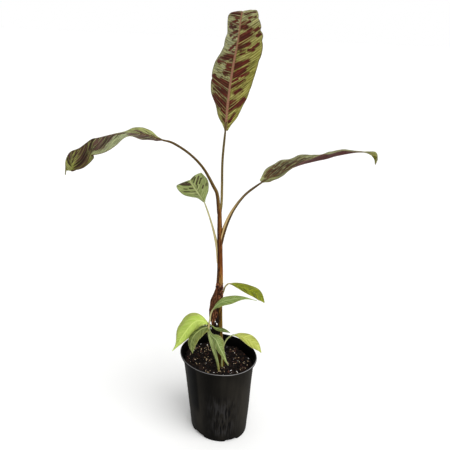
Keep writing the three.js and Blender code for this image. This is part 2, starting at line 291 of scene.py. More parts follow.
studio = dict(
    cameraPlace=(-5, -1087, 844.5),
    pitch=19.2,  # degrees below the horizon
    roll=2.5,
    lens=46.89,
    floorSize=60,  # metres
    floorColour=(0.95, 0.95, 0.94, 1),
    horizonGlow=1.0,
    skyGlow=0.55,
    glowHeight=(0.12, 0.4),  # how high the bright band round the horizon reaches
    sunFrom=(0.5, -0.7, 1.0),
    sunPower=2.5,
    sunSoftness=60,  # degrees
)


def setStudio():
    camera = addObject("camera", bpy.data.cameras.new("camera"))
    camera.data.lens = studio["lens"]
    camera.data.clip_start = 0.05
    turn = Matrix.Rotation(math.pi / 2 - math.radians(studio["pitch"]), 4, "X")
    turn = turn @ Matrix.Rotation(math.radians(studio["roll"]), 4, "Z")
    camera.matrix_world = Matrix.Translation(Vector(studio["cameraPlace"]) * mm) @ turn
    scene = bpy.context.scene
    scene.camera = camera
    scene.view_settings.view_transform = "Standard"

    scene.world = bpy.data.worlds.new("softbox room")
    room = Finish(scene.world)
    apart = room.nodes.new("ShaderNodeSeparateXYZ")
    room.plug(apart.inputs[0], room.nodes.new("ShaderNodeTexCoord").outputs["Generated"])
    height = room.calc("ABSOLUTE", apart.outputs["Z"])
    glow = room.between(height, *studio["glowHeight"], studio["horizonGlow"], studio["skyGlow"])
    room.plug(room.nodes["Background"].inputs["Color"], (255, 255, 255))
    room.plug(room.nodes["Background"].inputs["Strength"], glow)

    light = bpy.data.lights.new("soft key", "SUN")
    light.energy = studio["sunPower"]
    light.angle = math.radians(studio["sunSoftness"])
    lamp = addObject("soft key", light)
    lamp.rotation_euler = (-Vector(studio["sunFrom"])).to_track_quat("-Z", "Y").to_euler()

    half = studio["floorSize"] / 2
    corners = [(-half, -half, 0), (half, -half, 0), (half, half, 0), (-half, half, 0)]
    floor = makePiece("floor", corners, [(0, 1, 2, 3)])
    pale = newFinish("pale floor")
    pale.nodes["Principled BSDF"].inputs["Base Color"].default_value = studio["floorColour"]
    pale.nodes["Principled BSDF"].inputs["Roughness"].default_value = 0.9
    floor.data.materials.append(pale.owner)


setStudio()
print("studio ready")

# Pot: thin black plastic, a little oval and leaning, with shallow slots in its heel

pot = dict(
    height=178, rimRadius=82.5, wallTop=77, wallFoot=62, heel=6, wall=1.3,
    stretch=1.0536, longAxis=-55, lean=0.04,  # how oval, along which axis in degrees, and how far it leans
    slots=5, firstSlot=-137, slotWidth=30, slotHeight=7, slotDepth=3.0,  # angles are in degrees
    underside=[(0, 1.2), (30, 1.2), (48, 1.0), (54, 0.2), (57, 0), (59.6, 0), (60.5, 0.35), (61.1, 1.2)],
    insideFloor=[(58, 4.5), (52, 3.4), (30, 3.2), (0, 3.2)],
    lip=2.1,  # radius of the rolled lip
    lipCrest=60,  # the profile's point where the outside ends
    dent=0.5, around=288,
    dustAndSheen=[1, 0.6, 0.4, 0.4, 0.4, 0.9, 1.0, 0.5, 0.6, 0.9, 1],  # dust and painted sheen, from the right over the back
    darkReflectionBand=(0.576, 0.642),  # shares of the same turn where a black painted reflection is kept free of dust and sheen
    darkReflectionAbove=(52, 80),  # heights over which this begins
    scuffSheenTurn=(0.768, 0.07),  # middle and half width of the part with scuffs and painted sheen streaks
    scuffSheenHeights=(6, 30, 95, 130),  # where it begins, is full, fades and ends
    # sheenStreak and groove are the pale and dark streaks of scuffs and painted reflection
    black=(5, 5, 5), dustSheen=(48, 45, 40), sheenStreak=(46, 45, 46), groove=(6, 6, 10), wearGlintGrey=(158, 156, 156),
)


def potRing(radius, height, angle):
    # a place on the soft pot: round in plan, stretched along one axis and leant
    axis = math.radians(pot["longAxis"])
    x = radius * np.cos(angle - axis) * pot["stretch"]
    y = radius * np.sin(angle - axis) / pot["stretch"]
    east = x * math.cos(axis) - y * math.sin(axis) - pot["lean"] * height
    return stacked(east, x * math.sin(axis) + y * math.cos(axis), height) * mm


def wallRadius(height):
    share = (height - pot["heel"]) / (pot["height"] - pot["heel"])
    return pot["wallFoot"] + (pot["wallTop"] - pot["wallFoot"]) * share


def potProfile():
    # radius and height from the middle of the underside, up the outside, over the rim and down inside
    top, rim, wall, lip = (pot[key] for key in ("height", "rimRadius", "wall", "lip"))
    profile = [*pot["underside"]]
    profile += [(wallRadius(z) - 0.4 * (1 - z / 8) ** 2, z) for z in (2.2, 3.4, 4.6, 6, 7.5)]
    profile += [(wallRadius(z), z) for z in np.linspace(10, top - 12, 40)]
    profile += [(wallRadius(top - 9) + 0.2, top - 9), (wallRadius(top - 7) + 0.8, top - 7)]
    profile += [(rim - 2.2, top - 5.4), (rim - 0.9, top - 4.8)]
    roll = np.radians(np.linspace(-70, 190, 12))
    profile += [(rim - lip + lip * math.cos(a), top - lip + lip * math.sin(a)) for a in roll]
    profile += [(rim - 4.7, top - 3.8), (wallRadius(top - 7) - wall + 0.5, top - 7)]
    profile += [(wallRadius(z) - wall, z) for z in np.linspace(top - 10, 12, 24)]
    return profile + pot["insideFloor"]


def potMaterial():
    paint = newFinish("black pot plastic")
    place = paint.place()
    drawn = paint.grain(place, 30, 4, 0.6, (1, 1, 0.12))
    streaks = paint.grain(place, 320, 2, 0.5, (1, 1, 0.09))  # scuffs and painted sheen streaks, drawn down the wall
    mottled = paint.grain(place, 9, 4, 0.6, (1, 1, 0.5))
    scuffSheen = paint.reading("scuffSheen")
    # dust and painted sheen: a lighter film, strongest on the right, that is both dust and the pot's painted
    # sheen
    dustSheen = paint.times(paint.between(mottled, 0.35, 0.65, 0.5, 1.0), paint.between(drawn, 0.3, 0.7, 0.4, 1.0))
    dustSheen = paint.times(dustSheen, paint.reading("dustAndSheen"))
    shade = paint.blend(dustSheen, pot["black"], pot["dustSheen"])
    # scuffs and painted reflection: pale streaks and dark grooves down the front of the wall
    for colour, seen in (("sheenStreak", (0.5, 0.62, 0, 0.7)), ("groove", (0.38, 0.47, 0.9, 0))):
        shade = paint.blend(paint.times(paint.between(streaks, *seen), scuffSheen), shade, pot[colour])
    # wear and painted highlight: a pale grey line along the rim's crest
    wearAndGlint = paint.times(paint.reading("wearAndGlint"), paint.between(mottled, 0.3, 0.55, 0.35, 1))
    shade = paint.blend(wearAndGlint, shade, pot["wearGlintGrey"])
    gloss = paint.plus(paint.between(drawn, 0.3, 0.75, 0.3, 0.42), paint.times(dustSheen, 0.2))
    fine = paint.grain(place, 260, 2, 0.5, (1, 1, 0.35))
    return paint.done(shade, gloss, 0.01, paint.plus(drawn, paint.times(fine, 0.25)), 0.0006, 0.35)


def makePot():
    radius, height = np.array(potProfile()).T[..., None]
    outside = 1.0 * (np.arange(len(radius)) <= pot["lipCrest"])[:, None]
    angle = roundAngles(pot["around"])
    spacing = 2 * math.pi / pot["slots"]
    off = np.abs((angle - math.radians(pot["firstSlot"]) + spacing / 2) % spacing - spacing / 2)
    half = math.radians(pot["slotWidth"] / 2)
    slot = 1 - softStep(half * 0.72, half, off)
    push = slot * pot["slotDepth"] * (1 - softStep(pot["slotHeight"] - 1.5, pot["slotHeight"], height))
    bend = softNoise(stacked(np.cos(angle) * 2, np.sin(angle) * 2, height / 60), 1, 4)
    dent = pot["dent"] * bend * np.minimum(1, height / 40)
    lift = slot * 0.9 * (radius > 55) * (height < 1) * outside
    places = potRing(radius + dent - push * softStep(50, 56, radius), height + lift, angle)

    turn = angle / (2 * math.pi)
    # painted dark reflection: a black band up the wall where the dust and sheen film is taken away
    first, last = pot["darkReflectionBand"]
    band = softStep(first - 0.01, first + 0.01, turn) * (1 - softStep(last - 0.006, last + 0.006, turn))
    # dust and painted sheen, lighter from the right over the back
    dustAndSheen = smoothValues(pot["dustAndSheen"], turn) * (1 - 0.9 * band * softStep(*pot["darkReflectionAbove"], height))
    dustAndSheen = dustAndSheen * softStep(-60, 60, height) * (0.1 + 0.9 * outside)  # thinner at the foot and inside
    low, full, fading, high = pot["scuffSheenHeights"]
    # scuffs with painted sheen streaks round the front of the wall
    scuffSheen = bump(turn, *pot["scuffSheenTurn"]) * softStep(low, full, height) * (1 - softStep(fading, high, height))
    wearAndGlint = 1.0 * (radius > pot["rimRadius"] - 1.3) * (height > pot["height"] - 1.0)  # the rim's crest: wear and a painted highlight
    piece = makePiece("nursery_pot", places, gridFaces(len(radius), pot["around"], wrap=True),
                      {"dustAndSheen": dustAndSheen, "scuffSheen": scuffSheen * outside, "wearAndGlint": wearAndGlint})
    merge = piece.modifiers.new("close middle", "WELD")
    merge.merge_threshold = 0.00001
    return dress(piece, potMaterial(), ["pot"])


makePot()
print("pot made")

# Potting mix: an uneven surface with bark, crumbs, fibres and perlite

soil = dict(
    top=156, bottom=9, relief=3.2, rings=70, around=220,
    crumbs=[(0.3, (5, 3, 2)), (0.5, (18, 11, 8)), (0.6, (30, 21, 16)), (0.72, (66, 50, 40))],
    damp=(6, 4, 3),
    chips=[
        # name, how many, length, width, thickness, colour, seed
        ("bark_dark", 1700, (3, 10), 0.55, 0.35, (17, 10, 7), 11),
        ("bark_brown", 520, (3, 10), 0.4, 0.35, (50, 34, 25), 12),
        ("bark_red", 90, (3, 9), 0.36, 0.4, (98, 62, 52), 13),
        ("bark_tan", 60, (4, 9), 0.26, 0.2, (226, 196, 154), 14),
        ("perlite", 100, (1.8, 4.0), 0.85, 0.8, (255, 253, 250), 15),
    ],
    threads=[
        # name, how many, radius, colour, seed
        ("fibres", 110, (0.12, 0.28), (120, 88, 62), 16),
        ("slivers", 60, (0.5, 0.9), (240, 212, 172), 17),
    ],
)


def soilHeight(x, y):
    # height of the mix in millimetres at a place given in millimetres
    flat = stacked(x, y, 0)
    wavy = 1.6 * softNoise(flat, 34, 21) + soil["relief"] * 0.5 * softNoise(flat, 11, 22)
    lumps = 0.9 * softNoise(flat, 4.2, 23) + 0.45 * softNoise(flat, 1.9, 24)
    bank = 4.5 * softStep(10, 70, -x) - 1.5 * softStep(0, 60, x)  # higher at the left than at the right
    mound = 3.0 * np.exp(-((x + 2) ** 2 + (y + 26) ** 2) / 300)  # round the foot of both stems
    return soil["top"] + wavy + lumps + bank + mound


def soilEdge():
    return wallRadius(soil["top"]) - pot["wall"] - 0.3


def soilMaterial():
    paint = newFinish("potting mix")
    crumbs = paint.grain(paint.place(), 420, 5, 0.7)
    lumps = paint.grain(paint.place(), 90, 4, 0.6)
    shade = paint.colourRun(crumbs, soil["crumbs"])
    shade = paint.blend(paint.between(lumps, 0.35, 0.65, 0.7, 0.0), shade, soil["damp"])
    return paint.done(shade, 0.92, 0.2, crumbs, 0.0015)


def chipMaterial(name, colour):
    paint = newFinish(name.replace("_", " "))
    fibre = paint.grain(paint.place(), 700, 3, 0.6)
    shade = paint.blend(paint.between(fibre, 0.35, 0.65, 0.45, 1.0), (0, 0, 0), colour)
    return paint.done(shade, 0.8, 0.15, fibre, 0.0005)


def spotOnMix(draw, inset):
    far = (soilEdge() - inset) * math.sqrt(draw.uniform(0, 1))
    return (potRing(far, soil["top"], draw.uniform(0, 2 * math.pi)) / mm)[:2]


def scatter(name, count, length, widthShare, thickShare, colour, seed):
    # irregular lumps in one joined mesh: each is a squashed, twisted six-sided spindle
    draw = np.random.default_rng(seed)
    around = 6
    ring = roundAngles(around)
    lumps = []
    for k in range(count):
        x, y = spotOnMix(draw, 2)
        size = draw.uniform(*length)
        steps = np.array([-0.5, -0.22, 0.2, 0.5]) * size
        swell = np.array([0.45, 1, 0.95, 0.4]) * size * widthShare / 2 * draw.uniform(0.7, 1.2)
        rough = draw.uniform(0.65, 1.25, (4, around))
        lump = np.zeros((4, around, 3))
        lump[..., 0] = steps[:, None] + draw.uniform(-0.08, 0.08, (4, around)) * size
        lump[..., 1] = swell[:, None] * np.cos(ring) * rough
        lump[..., 2] = swell[:, None] * np.sin(ring) * rough * thickShare / widthShare
        tilt = Matrix.Rotation(draw.uniform(0, 2 * math.pi), 3, "Z")
        tilt = tilt @ Matrix.Rotation(draw.normal(0, 0.35), 3, "Y")
        tilt = tilt @ Matrix.Rotation(draw.normal(0, 0.5), 3, "X")
        lift = soilHeight(x, y) + draw.uniform(-0.1, 0.9)
        lumps.append((lump @ np.array(tilt).T + (x, y, lift)) * mm)
    return dress(joinTubes(name, lumps, smooth=False), chipMaterial(name, colour))


def scatterThreads(name, count, thickness, colour, seed):
    # thin roots, coir threads and pale slivers of bark that lie curled on the mix
    draw = np.random.default_rng(seed)
    steps = 8
    ring = roundAngles(4)
    threads = []
    for k in range(count):
        x, y = spotOnMix(draw, 8)
        heading = draw.uniform(0, 2 * math.pi)
        run = np.cumsum(np.full(steps, draw.uniform(0.6, 1.5)))
        bend = heading + draw.normal(0, 0.35) * np.arange(steps) / 2
        x = x + np.cumsum(np.cos(bend)) * run[0]
        y = y + np.cumsum(np.sin(bend)) * run[0]
        radius = draw.uniform(*thickness)
        z = soilHeight(x, y) + 0.5 + radius + 0.5 * np.sin(run + heading)
        bend = bend[:, None]
        across = stacked(-np.sin(bend) * np.cos(ring), np.cos(bend) * np.cos(ring), np.sin(ring))
        threads.append((stacked(x, y, z)[:, None] + across * radius) * mm)
    return dress(joinTubes(name, threads), chipMaterial(name, colour))


def makeSoil():
    angle = roundAngles(soil["around"])
    rings = []
    for share in np.linspace(0.004, 1, soil["rings"]):
        ring = potRing(soilEdge() * share, soil["top"], angle)
        ring[:, 2] = soilHeight(ring[:, 0] / mm, ring[:, 1] / mm) * mm
        rings.append(ring)
    for height in (120, 70, 25, soil["bottom"]):
        rings.append(potRing(wallRadius(height) - pot["wall"] - 0.4, height, angle))
    surface = makePiece("soil_surface", np.stack(rings), tubeFaces(len(rings), soil["around"]))
    dress(surface, soilMaterial(), ["potting_soil"])
    for chip in soil["chips"]:
        scatter(*chip)
    for threads in soil["threads"]:
        scatterThreads(*threads)


makeSoil()
print("potting mix made")

# Stems and petioles: tubes round a line, with a groove on the upper side of each petiole

grooveHalf, lipAngle = 0.42, 0.78  # radians round the section from the middle of the upper side


def tube(name, limb):
    # the radius follows the line, and groove, lips, seams, fibres and knobs shape the section
    line, _, normal, side, length = lineFrames(limb["line"], limb["face"], limb["steps"])
    t = np.linspace(0, 1, limb["steps"] + 1)[:, None]
    run = t * length / mm
    angle = roundAngles(limb["around"])[None]
    off = np.abs((angle + math.pi) % (2 * math.pi) - math.pi)

    def along(key):
        return smoothValues(limb.get(key, (0, 0)), t)

    ringPlace = stacked(np.cos(angle) * 5, np.sin(angle) * 5, run * 0.06)
    fibre = softNoise(ringPlace, 0.9, limb["seed"])
    lump = softNoise(ringPlace * (1, 1, 4), 3.2, limb["seed"] + 1)
    scaly = softNoise(ringPlace * (1.3, 1.3, 9), 1.3, limb["seed"] + 2)
    shape = 1 - along("groove") * bump(off, 0, grooveHalf) + along("lip") * bump(off, lipAngle, 0.24)
    shape = shape + limb.get("fibre", 0.02) * fibre + limb.get("lump", 0.02) * lump
    for seamAngle, twist, start, end, step in limb.get("seams", ()):
        away = (angle - math.radians(seamAngle) - twist * t + math.pi) % (2 * math.pi) - math.pi
        present = softStep(start - 0.02, start, t) * (1 - softStep(end - 0.02, end, t))
        fading = 1 - softStep(0.05, 1.8, away)  # a seam is a sharp step that fades round the stem
        shape = shape + present * step * (softStep(-0.05, 0.05, away) * fading)
    shape = shape + along("rough") * np.maximum(scaly, -0.2)
    out = normal[:, None] * np.cos(angle)[..., None] + side[:, None] * np.sin(angle)[..., None]
    palm = (1 - softStep(0.8, 1.15, off)) * along("palm")  # the hollow side of a petiole
    values = {
        "along": t, "run": run, "turnX": np.cos(angle), "turnY": np.sin(angle), "east": out[..., 0],
        "lipTone": np.maximum(bump(off, lipAngle, 0.3) * along("lipTone"), palm),
        "knob": np.clip(along("rough") * 6, 0, 1),
    }
    places = line[:, None] + out * (along("radii") * mm * shape)[..., None]
    return makePiece(name, places, tubeFaces(limb["steps"] + 1, limb["around"]), values)


def stemMaterial(name, look):
    paint = newFinish(name)
    turnX, turnY, run, along = (paint.reading(key) for key in ("turnX", "turnY", "run", "along"))

    def drawnOut(fine, rise, *looseness):
        place = paint.joined(paint.times(turnX, fine), paint.times(turnY, fine), paint.times(run, rise))
        return paint.grain(place, *looseness)

    drawn = drawnOut(look.get("fine", 2.2), 0.016, 2.2, 4, 0.6)
    # painted light: the side facing +X is pushed towards the paler streak colours
    light = paint.plus(drawn, paint.times(paint.reading("east"), look.get("east", 0.0)))
    shade = paint.blend(paint.between(light, 0.46, 0.55), paint.colourRun(along, look["body"]),
                        paint.colourRun(along, look["streak"]))
    patchy = paint.between(drawnOut(1, 0.05, 1.6, 3, 0.55), 0.5, 0.6, 0, look.get("stain", 0.6))
    shade = paint.blend(patchy, shade, look["dark"])
    if "knob" in look:
        crust = paint.colourRun(drawnOut(2, 0.22, 1.5, 3, 0.7), look["knob"])
        shade = paint.blend(paint.reading("knob"), shade, crust)
    if "lip" in look:
        shade = paint.blend(paint.reading("lipTone"), shade, look["lip"])
    gloss = paint.between(drawn, 0.3, 0.7, look["gloss"], look["gloss"] + 0.16)
    return paint.done(shade, gloss, 0.1, drawn, 0.0006, 0.8)


brownPetiole = dict(
    dark=(38, 20, 6), lip=(132, 106, 52), gloss=0.38, fine=1.4,
    body=[(0, (58, 34, 10)), (0.3, (54, 38, 8)), (1, (54, 38, 12))],
    streak=[(0, (98, 62, 26)), (0.4, (84, 64, 22)), (1, (84, 62, 28))],
)
olivePetiole = dict(
    dark=(46, 38, 14), lip=(134, 120, 74), gloss=0.38,
    body=[(0, (116, 98, 50)), (0.4, (78, 62, 30)), (1, (56, 42, 20))],
    streak=[(0, (152, 136, 84)), (0.4, (112, 94, 54)), (1, (90, 74, 42))],
)
palePetiole = dict(
    dark=(96, 90, 52), lip=(204, 192, 144), gloss=0.4, stain=0.35,
    body=[(0, (178, 148, 92)), (0.35, (138, 130, 86)), (1, (126, 132, 88))],
    streak=[(0, (208, 180, 122)), (1, (170, 170, 120))],
)
greenPetiole = dict(
    dark=(104, 104, 54), lip=(208, 206, 152), gloss=0.4, stain=0.35,
    body=[(0, (156, 146, 66)), (0.3, (112, 126, 70)), (1, (120, 136, 78))],
    streak=[(0, (190, 178, 96)), (0.3, (164, 176, 116)), (1, (174, 186, 120))],
)
# east: how far painted light makes the stem's +X side paler
stemLook = dict(
    dark=(34, 13, 2), gloss=0.42, east=0.13, fine=1.2,
    body=[(0, (48, 30, 4)), (0.22, (62, 40, 8)), (0.45, (58, 34, 4)), (0.6, (66, 37, 6)),
        (0.66, (58, 27, 2)), (0.74, (56, 23, 1)), (1, (72, 37, 8))],
    streak=[(0, (100, 78, 20)), (0.4, (110, 82, 22)), (0.57, (156, 120, 56)), (0.64, (124, 74, 26)),
        (0.7, (92, 46, 8)), (1, (130, 86, 36))],
    knob=[(0.34, (26, 10, 4)), (0.47, (70, 34, 18)), (0.55, (112, 66, 42)), (0.68, (176, 128, 92))],
)
creamPetiole = dict(brownPetiole, lip=(206, 178, 122))  # its open base shows a pale inside

# Lists run from the lower end to the upper: lip is for the raised edges of a groove, palm for the colour
# between them and rough for the scaly knob.
# seams: angle from the front, turn over the height, from, to, step
stems = dict(
    pseudostem=dict(
        face=(0, -1, 0), steps=420, around=72, seed=31, fibre=0.035, lump=0.03,
        line=[[0, -20, 148], [-2, -20, 180], [-4, -20, 210], [-7, -20, 267], [-9.5, -19, 312],
            [-10.5, -18.5, 340], [-11, -18, 377], [-13, -17, 419], [-15, -15.5, 465], [-16.8, -14.1, 503]],
        radii=[7.4, 5.9, 5.3, 5.1, 5.5, 6.3, 5.4, 5.1, 4.7, 4.0],
        seams=[(35, 0.5, 0.0, 0.52, 0.07), (-120, -0.4, 0.0, 0.99, 0.06), (60, -0.6, 0.55, 0.8, 0.09),
            (-35, 0.8, 0.56, 0.99, 0.08), (150, 0.4, 0.3, 0.99, 0.06)],
        rough=[0, 0, 0, 0, 0.0, 0.14, 0.01, 0, 0, 0, 0],
    ),
    sucker_stem=dict(
        face=(0, -1, 0), steps=120, around=40, seed=35, fibre=0.04,
        line=[[-3, -37, 148], [-8, -38, 177], [-13, -39.5, 197], [-19, -41, 218], [-26, -42.5, 244],
            [-29, -43.5, 263]],
        radii=[2.4, 2.4, 3.2, 4, 3.8, 2.4], seams=[(40, 0.8, 0.0, 0.7, 0.12), (-60, -0.8, 0.2, 0.99, 0.1)],
    ),
)

petioles = dict(
    left_petiole=dict(
        face=(1, -0.15, 0.1), steps=190, look=brownPetiole, slot="brown_petiole",
        line=[[-17.5, -14, 494], [-22, -15, 530], [-30, -16, 548], [-50, -20, 583], [-75, -23, 609],
            [-105, -26, 628.5], [-124, -28, 634], [-137, -31.4, 637.5]],
        radii=[3.9, 3.5, 3.1, 2.6, 2.3, 2.2, 2.1, 1.2], groove=[0.1, 0.25, 0.4, 0.4, 0.4, 0.3],
        lip=[0.05, 0.16, 0.1, 0.1, 0.08, 0.0], lipTone=[0.8, 0.6, 0.35, 0.3, 0.3],
    ),
    top_petiole=dict(
        face=(0, -1, 0.1), steps=150, look=olivePetiole, slot="olive_petiole",
        line=[[-15.5, -11.5, 490], [-13.5, -9, 514], [-14, -5, 548], [-15, 0, 596], [-12, 4.2, 651],
            [-11, 6.2, 667]],
        radii=[2.5, 2.5, 2.4, 2.3, 2.2, 1.3], groove=[0.3, 0.3, 0.35, 0.3], lip=[0.1, 0.08, 0.08, 0.02],
        lipTone=[0.3, 0.2, 0.2],
    ),
    right_petiole=dict(
        face=(-1, -0.35, 0.2), steps=170, look=creamPetiole, slot="brown_petiole",
        line=[[-13, -16.5, 426], [-8, -16, 453], [0, -14.5, 480], [12, -13, 506], [32, -9, 533],
            [61, -4, 556], [73, -1.2, 562.6]],
        radii=[4.2, 4.2, 3.8, 2.9, 2.3, 2.1, 1.2], groove=[0.0, 0.25, 0.4, 0.4, 0.35, 0.2],
        lip=[0.0, 0.22, 0.16, 0.1, 0.08, 0.0], lipTone=[1, 1, 0.9, 0.4, 0.1, 0.1],
        palm=[1, 1, 0.8, 0.2, 0, 0],
    ),
    small_petiole=dict(
        face=(0.7, -0.7, 0.1), steps=120, look=palePetiole, slot="pale_stem",
        line=[[-14.6, -17, 392], [-18, -16, 420], [-22, -16, 440], [-28, -13.5, 462], [-37, -8.5, 488],
            [-47, -3, 512], [-52, -2.4, 519]],
        radii=[3.4, 3.0, 2.6, 2.0, 1.6, 1.5, 0.9], groove=[0.1, 0.3, 0.3, 0.2], lip=[0.1, 0.15, 0.1, 0.0],
        lipTone=[0.8, 0.6, 0.4],
    ),
    sucker_petiole_right=dict(
        face=(0.6, -0.6, 0.3), steps=70, look=palePetiole, slot="pale_stem",
        line=[[-29, -44, 256], [-28.5, -45, 270], [-27, -45.5, 279], [-26.5, -46.3, 288],
            [-25.2, -46.3, 295.5], [-22, -46, 303], [-17.6, -45, 308.6]],
        radii=[1.9, 1.8, 1.7, 1.6, 1.6, 1.5, 0.8], groove=[0.2, 0.3, 0.2], lip=[0.1, 0.1, 0.0],
        lipTone=[0.8, 0.7, 0.3],
    ),
    node_petiole_right=dict(
        face=(-0.6, -0.6, 0.3), steps=60, slot="brown_petiole",
        line=[[-8, -16, 316], [-2.5, -15.5, 328], [0.5, -14.5, 339], [4.5, -14.5, 344.5], [8, -15, 347],
            [15, -15.7, 346.7]],
        radii=[1.9, 1.6, 1.5, 1.5, 1.4, 0.8], groove=[0.1, 0.3, 0.2], lip=[0.1, 0.1, 0.0],
        lipTone=[0.3, 0.3],
        look=dict(olivePetiole, body=[(0, (112, 100, 52)), (1, (140, 130, 80))],
            streak=[(0, (150, 138, 86)), (1, (178, 168, 114))], dark=(88, 78, 38)),
    ),
    ground_petiole_right=dict(
        face=(-0.5, -0.7, 0.2), steps=90, look=greenPetiole, slot="pale_stem",
        line=[[2, -27, 150], [1, -27, 180], [2, -27, 205], [8, -26, 225], [20, -26, 237],
            [27, -26.4, 237.6]],
        radii=[2.2, 1.8, 1.6, 1.5, 1.4, 0.8], groove=[0.1, 0.3, 0.3, 0.2], lip=[0.1, 0.12, 0.1, 0.0],
        lipTone=[0.4, 0.6, 0.5],
    ),
)


def makeStems():
    dress(tube("stem", stems["pseudostem"]), stemMaterial("brown stem", stemLook), ["pseudostem"])
    dress(tube("sucker", stems["sucker_stem"]), stemMaterial("pale sucker", greenPetiole),
          ["sucker_stem"])
    finishes = {}
    for number, (node, limb) in enumerate(petioles.items()):
        key = id(limb["look"])
        if key not in finishes:
            finishes[key] = stemMaterial("petiole " + str(len(finishes) + 1), limb["look"])
        skin = tube(node + "_skin", {"around": 36, "seed": 40 + 3 * number, **limb})
        dress(skin, finishes[key], [node])


makeStems()
print("stems and petioles made")

# Leaves: a thin blade on its rib, with parallel side veins, a raised midrib beneath and a soft wave

leafTone = dict(
    main=(124, 122, 48), deep=(76, 64, 26), pale=(174, 170, 100), lime=(132, 130, 46),
    sheen=(144, 148, 106), sheenPale=(174, 176, 142), rib=(134, 84, 74), margin=(80, 64, 32),
    under=(92, 52, 52), underPale=(122, 78, 72), underBlotch=(66, 32, 34),
    blotch=(58, 16, 11), blotchRed=(84, 24, 19), paintedShadeBy=(162, 153, 89),
    blotchSheen=0.02,  # how far the painted sheen shows over a blotch
    blotchVeins=0.12,  # how far the side veins show over it
    wideGap=17,  # millimetres between the pale lines that part a blotch
    tear=2.1,  # how ragged its edge is
    veinGap=5.2,  # millimetres between the side veins
    veinShade=0.5,  # how dark the furrow between two veins is
    veinTone=0.6,  # how pale the vein itself is
    gloss=0.42,  # roughness where it shines most
)


def plain(main, sheen, pale, deep, rib, under, margin, veinGap):
    # the colours of a leaf without blotches
    return dict(main=main, sheen=sheen, pale=pale, deep=deep, rib=rib, under=under, underPale=sheen,
                margin=margin, veinGap=veinGap, veinShade=0, blotch=None)


def leafMaterial(name, tone):
    paint = newFinish(name)
    between, blend, times, plus, reading = paint.between, paint.blend, paint.times, paint.plus, paint.reading
    vein, across, sheen, edge = (reading(key) for key in ("vein", "across", "sheen", "edge"))
    main, deep, pale, rib = (tone[key] for key in ("main", "deep", "pale", "rib"))

    def alongVeins(fine, drawn, seed, detail):
        # noise drawn out along the side veins
        return paint.grain(paint.joined(times(vein, fine), times(across, drawn), seed), 1.0, detail, 0.62)

    streak = alongVeins(0.36, 0.045, 0.0, 4)
    thread = alongVeins(0.5, 0.05, 7.0, 2)
    soft = alongVeins(0.08, 0.04, 3.0, 3)
    lines = paint.wave(vein, tone["veinGap"])
    veinLine = times(between(lines, 0.7, 1.0), between(soft, 0.3, 0.6, 0.35, 1.0))
    shade = blend(between(streak, 0.35, 0.48), deep, main)
    shade = blend(between(soft, 0.42, 0.7, 0, 0.5), shade, pale)
    shade = blend(times(between(edge, 0.45, 0.9), between(soft, 0.3, 0.6, 0.5, 1)), shade, tone["lime"])
    # painted sheen: a pale sage tone over the parts of the leaf that face the light
    sheenTone = blend(between(streak, 0.35, 0.65), tone["sheen"], tone["sheenPale"])
    shade = blend(sheen, shade, sheenTone)
    shade = blend(between(thread, 0.52, 0.6, 0, 0.7), shade, pale)
    shade = blend(between(thread, 0.42, 0.49, 0.85, 0), shade, deep)
    shade = blend(times(veinLine, tone["veinTone"]), shade, pale)
    shade = blend(between(lines, -1.0, -0.5, tone["veinShade"], 0), shade, deep)
    below = blend(between(streak, 0.4, 0.65), tone["under"], tone["underPale"])
    below = blend(reading("tipGreen"), below, tone["lime"])
    if tone["blotch"]:
        torn = plus(times(paint.calc("SUBTRACT", streak, 0.5), tone["tear"]),
                    times(paint.calc("SUBTRACT", thread, 0.5), 0.75 * tone["tear"]))
        mask = between(plus(reading("blotch"), torn), 0.36, 0.45)
        wine = blend(between(plus(soft, streak), 0.92, 1.1), tone["blotch"], tone["blotchRed"])
        wine = blend(times(sheen, tone["blotchSheen"]), wine, tone["sheen"])
        wide = between(paint.wave(vein, tone["wideGap"]), 0.9, 0.97, 0, 0.85)
        clear = times(wide, between(thread, 0.35, 0.55))
        gaps = paint.calc("MAXIMUM", times(veinLine, tone["blotchVeins"]), clear)
        mask = times(mask, paint.calc("SUBTRACT", 1.0, gaps))
        shade = blend(mask, shade, wine)
        below = blend(times(mask, 0.75), below, tone["underBlotch"])
    shade = blend(between(edge, 0.95, 0.99, 0, 0.85), shade, tone["margin"])
    # painted shadow: thin dark lines along both sides of the raised rib
    shade = blend(times(reading("ribShadow"), 0.8), shade, deep)
    shade = blend(reading("ribTone"), shade, blend(between(thread, 0.4, 0.62, 0, 0.25), rib, pale))
    below = blend(times(reading("ribTone"), 0.7), below, rib)
    shade = blend(reading("upper"), below, shade)
    # painted shade: darkens the leaf where it turns away from the light
    shade = blend(reading("paintedShade"), shade, tone["paintedShadeBy"], "MULTIPLY")
    gloss = between(soft, 0.3, 0.7, tone["gloss"], tone["gloss"] + 0.14)
    cells = paint.grain(paint.place(), 1400, 2, 0.5)
    height = plus(times(paint.wave(vein, 1.3), 0.5), plus(cells, streak))
    return paint.done(shade, gloss, 0.1, height, 0.0004, 0.9)


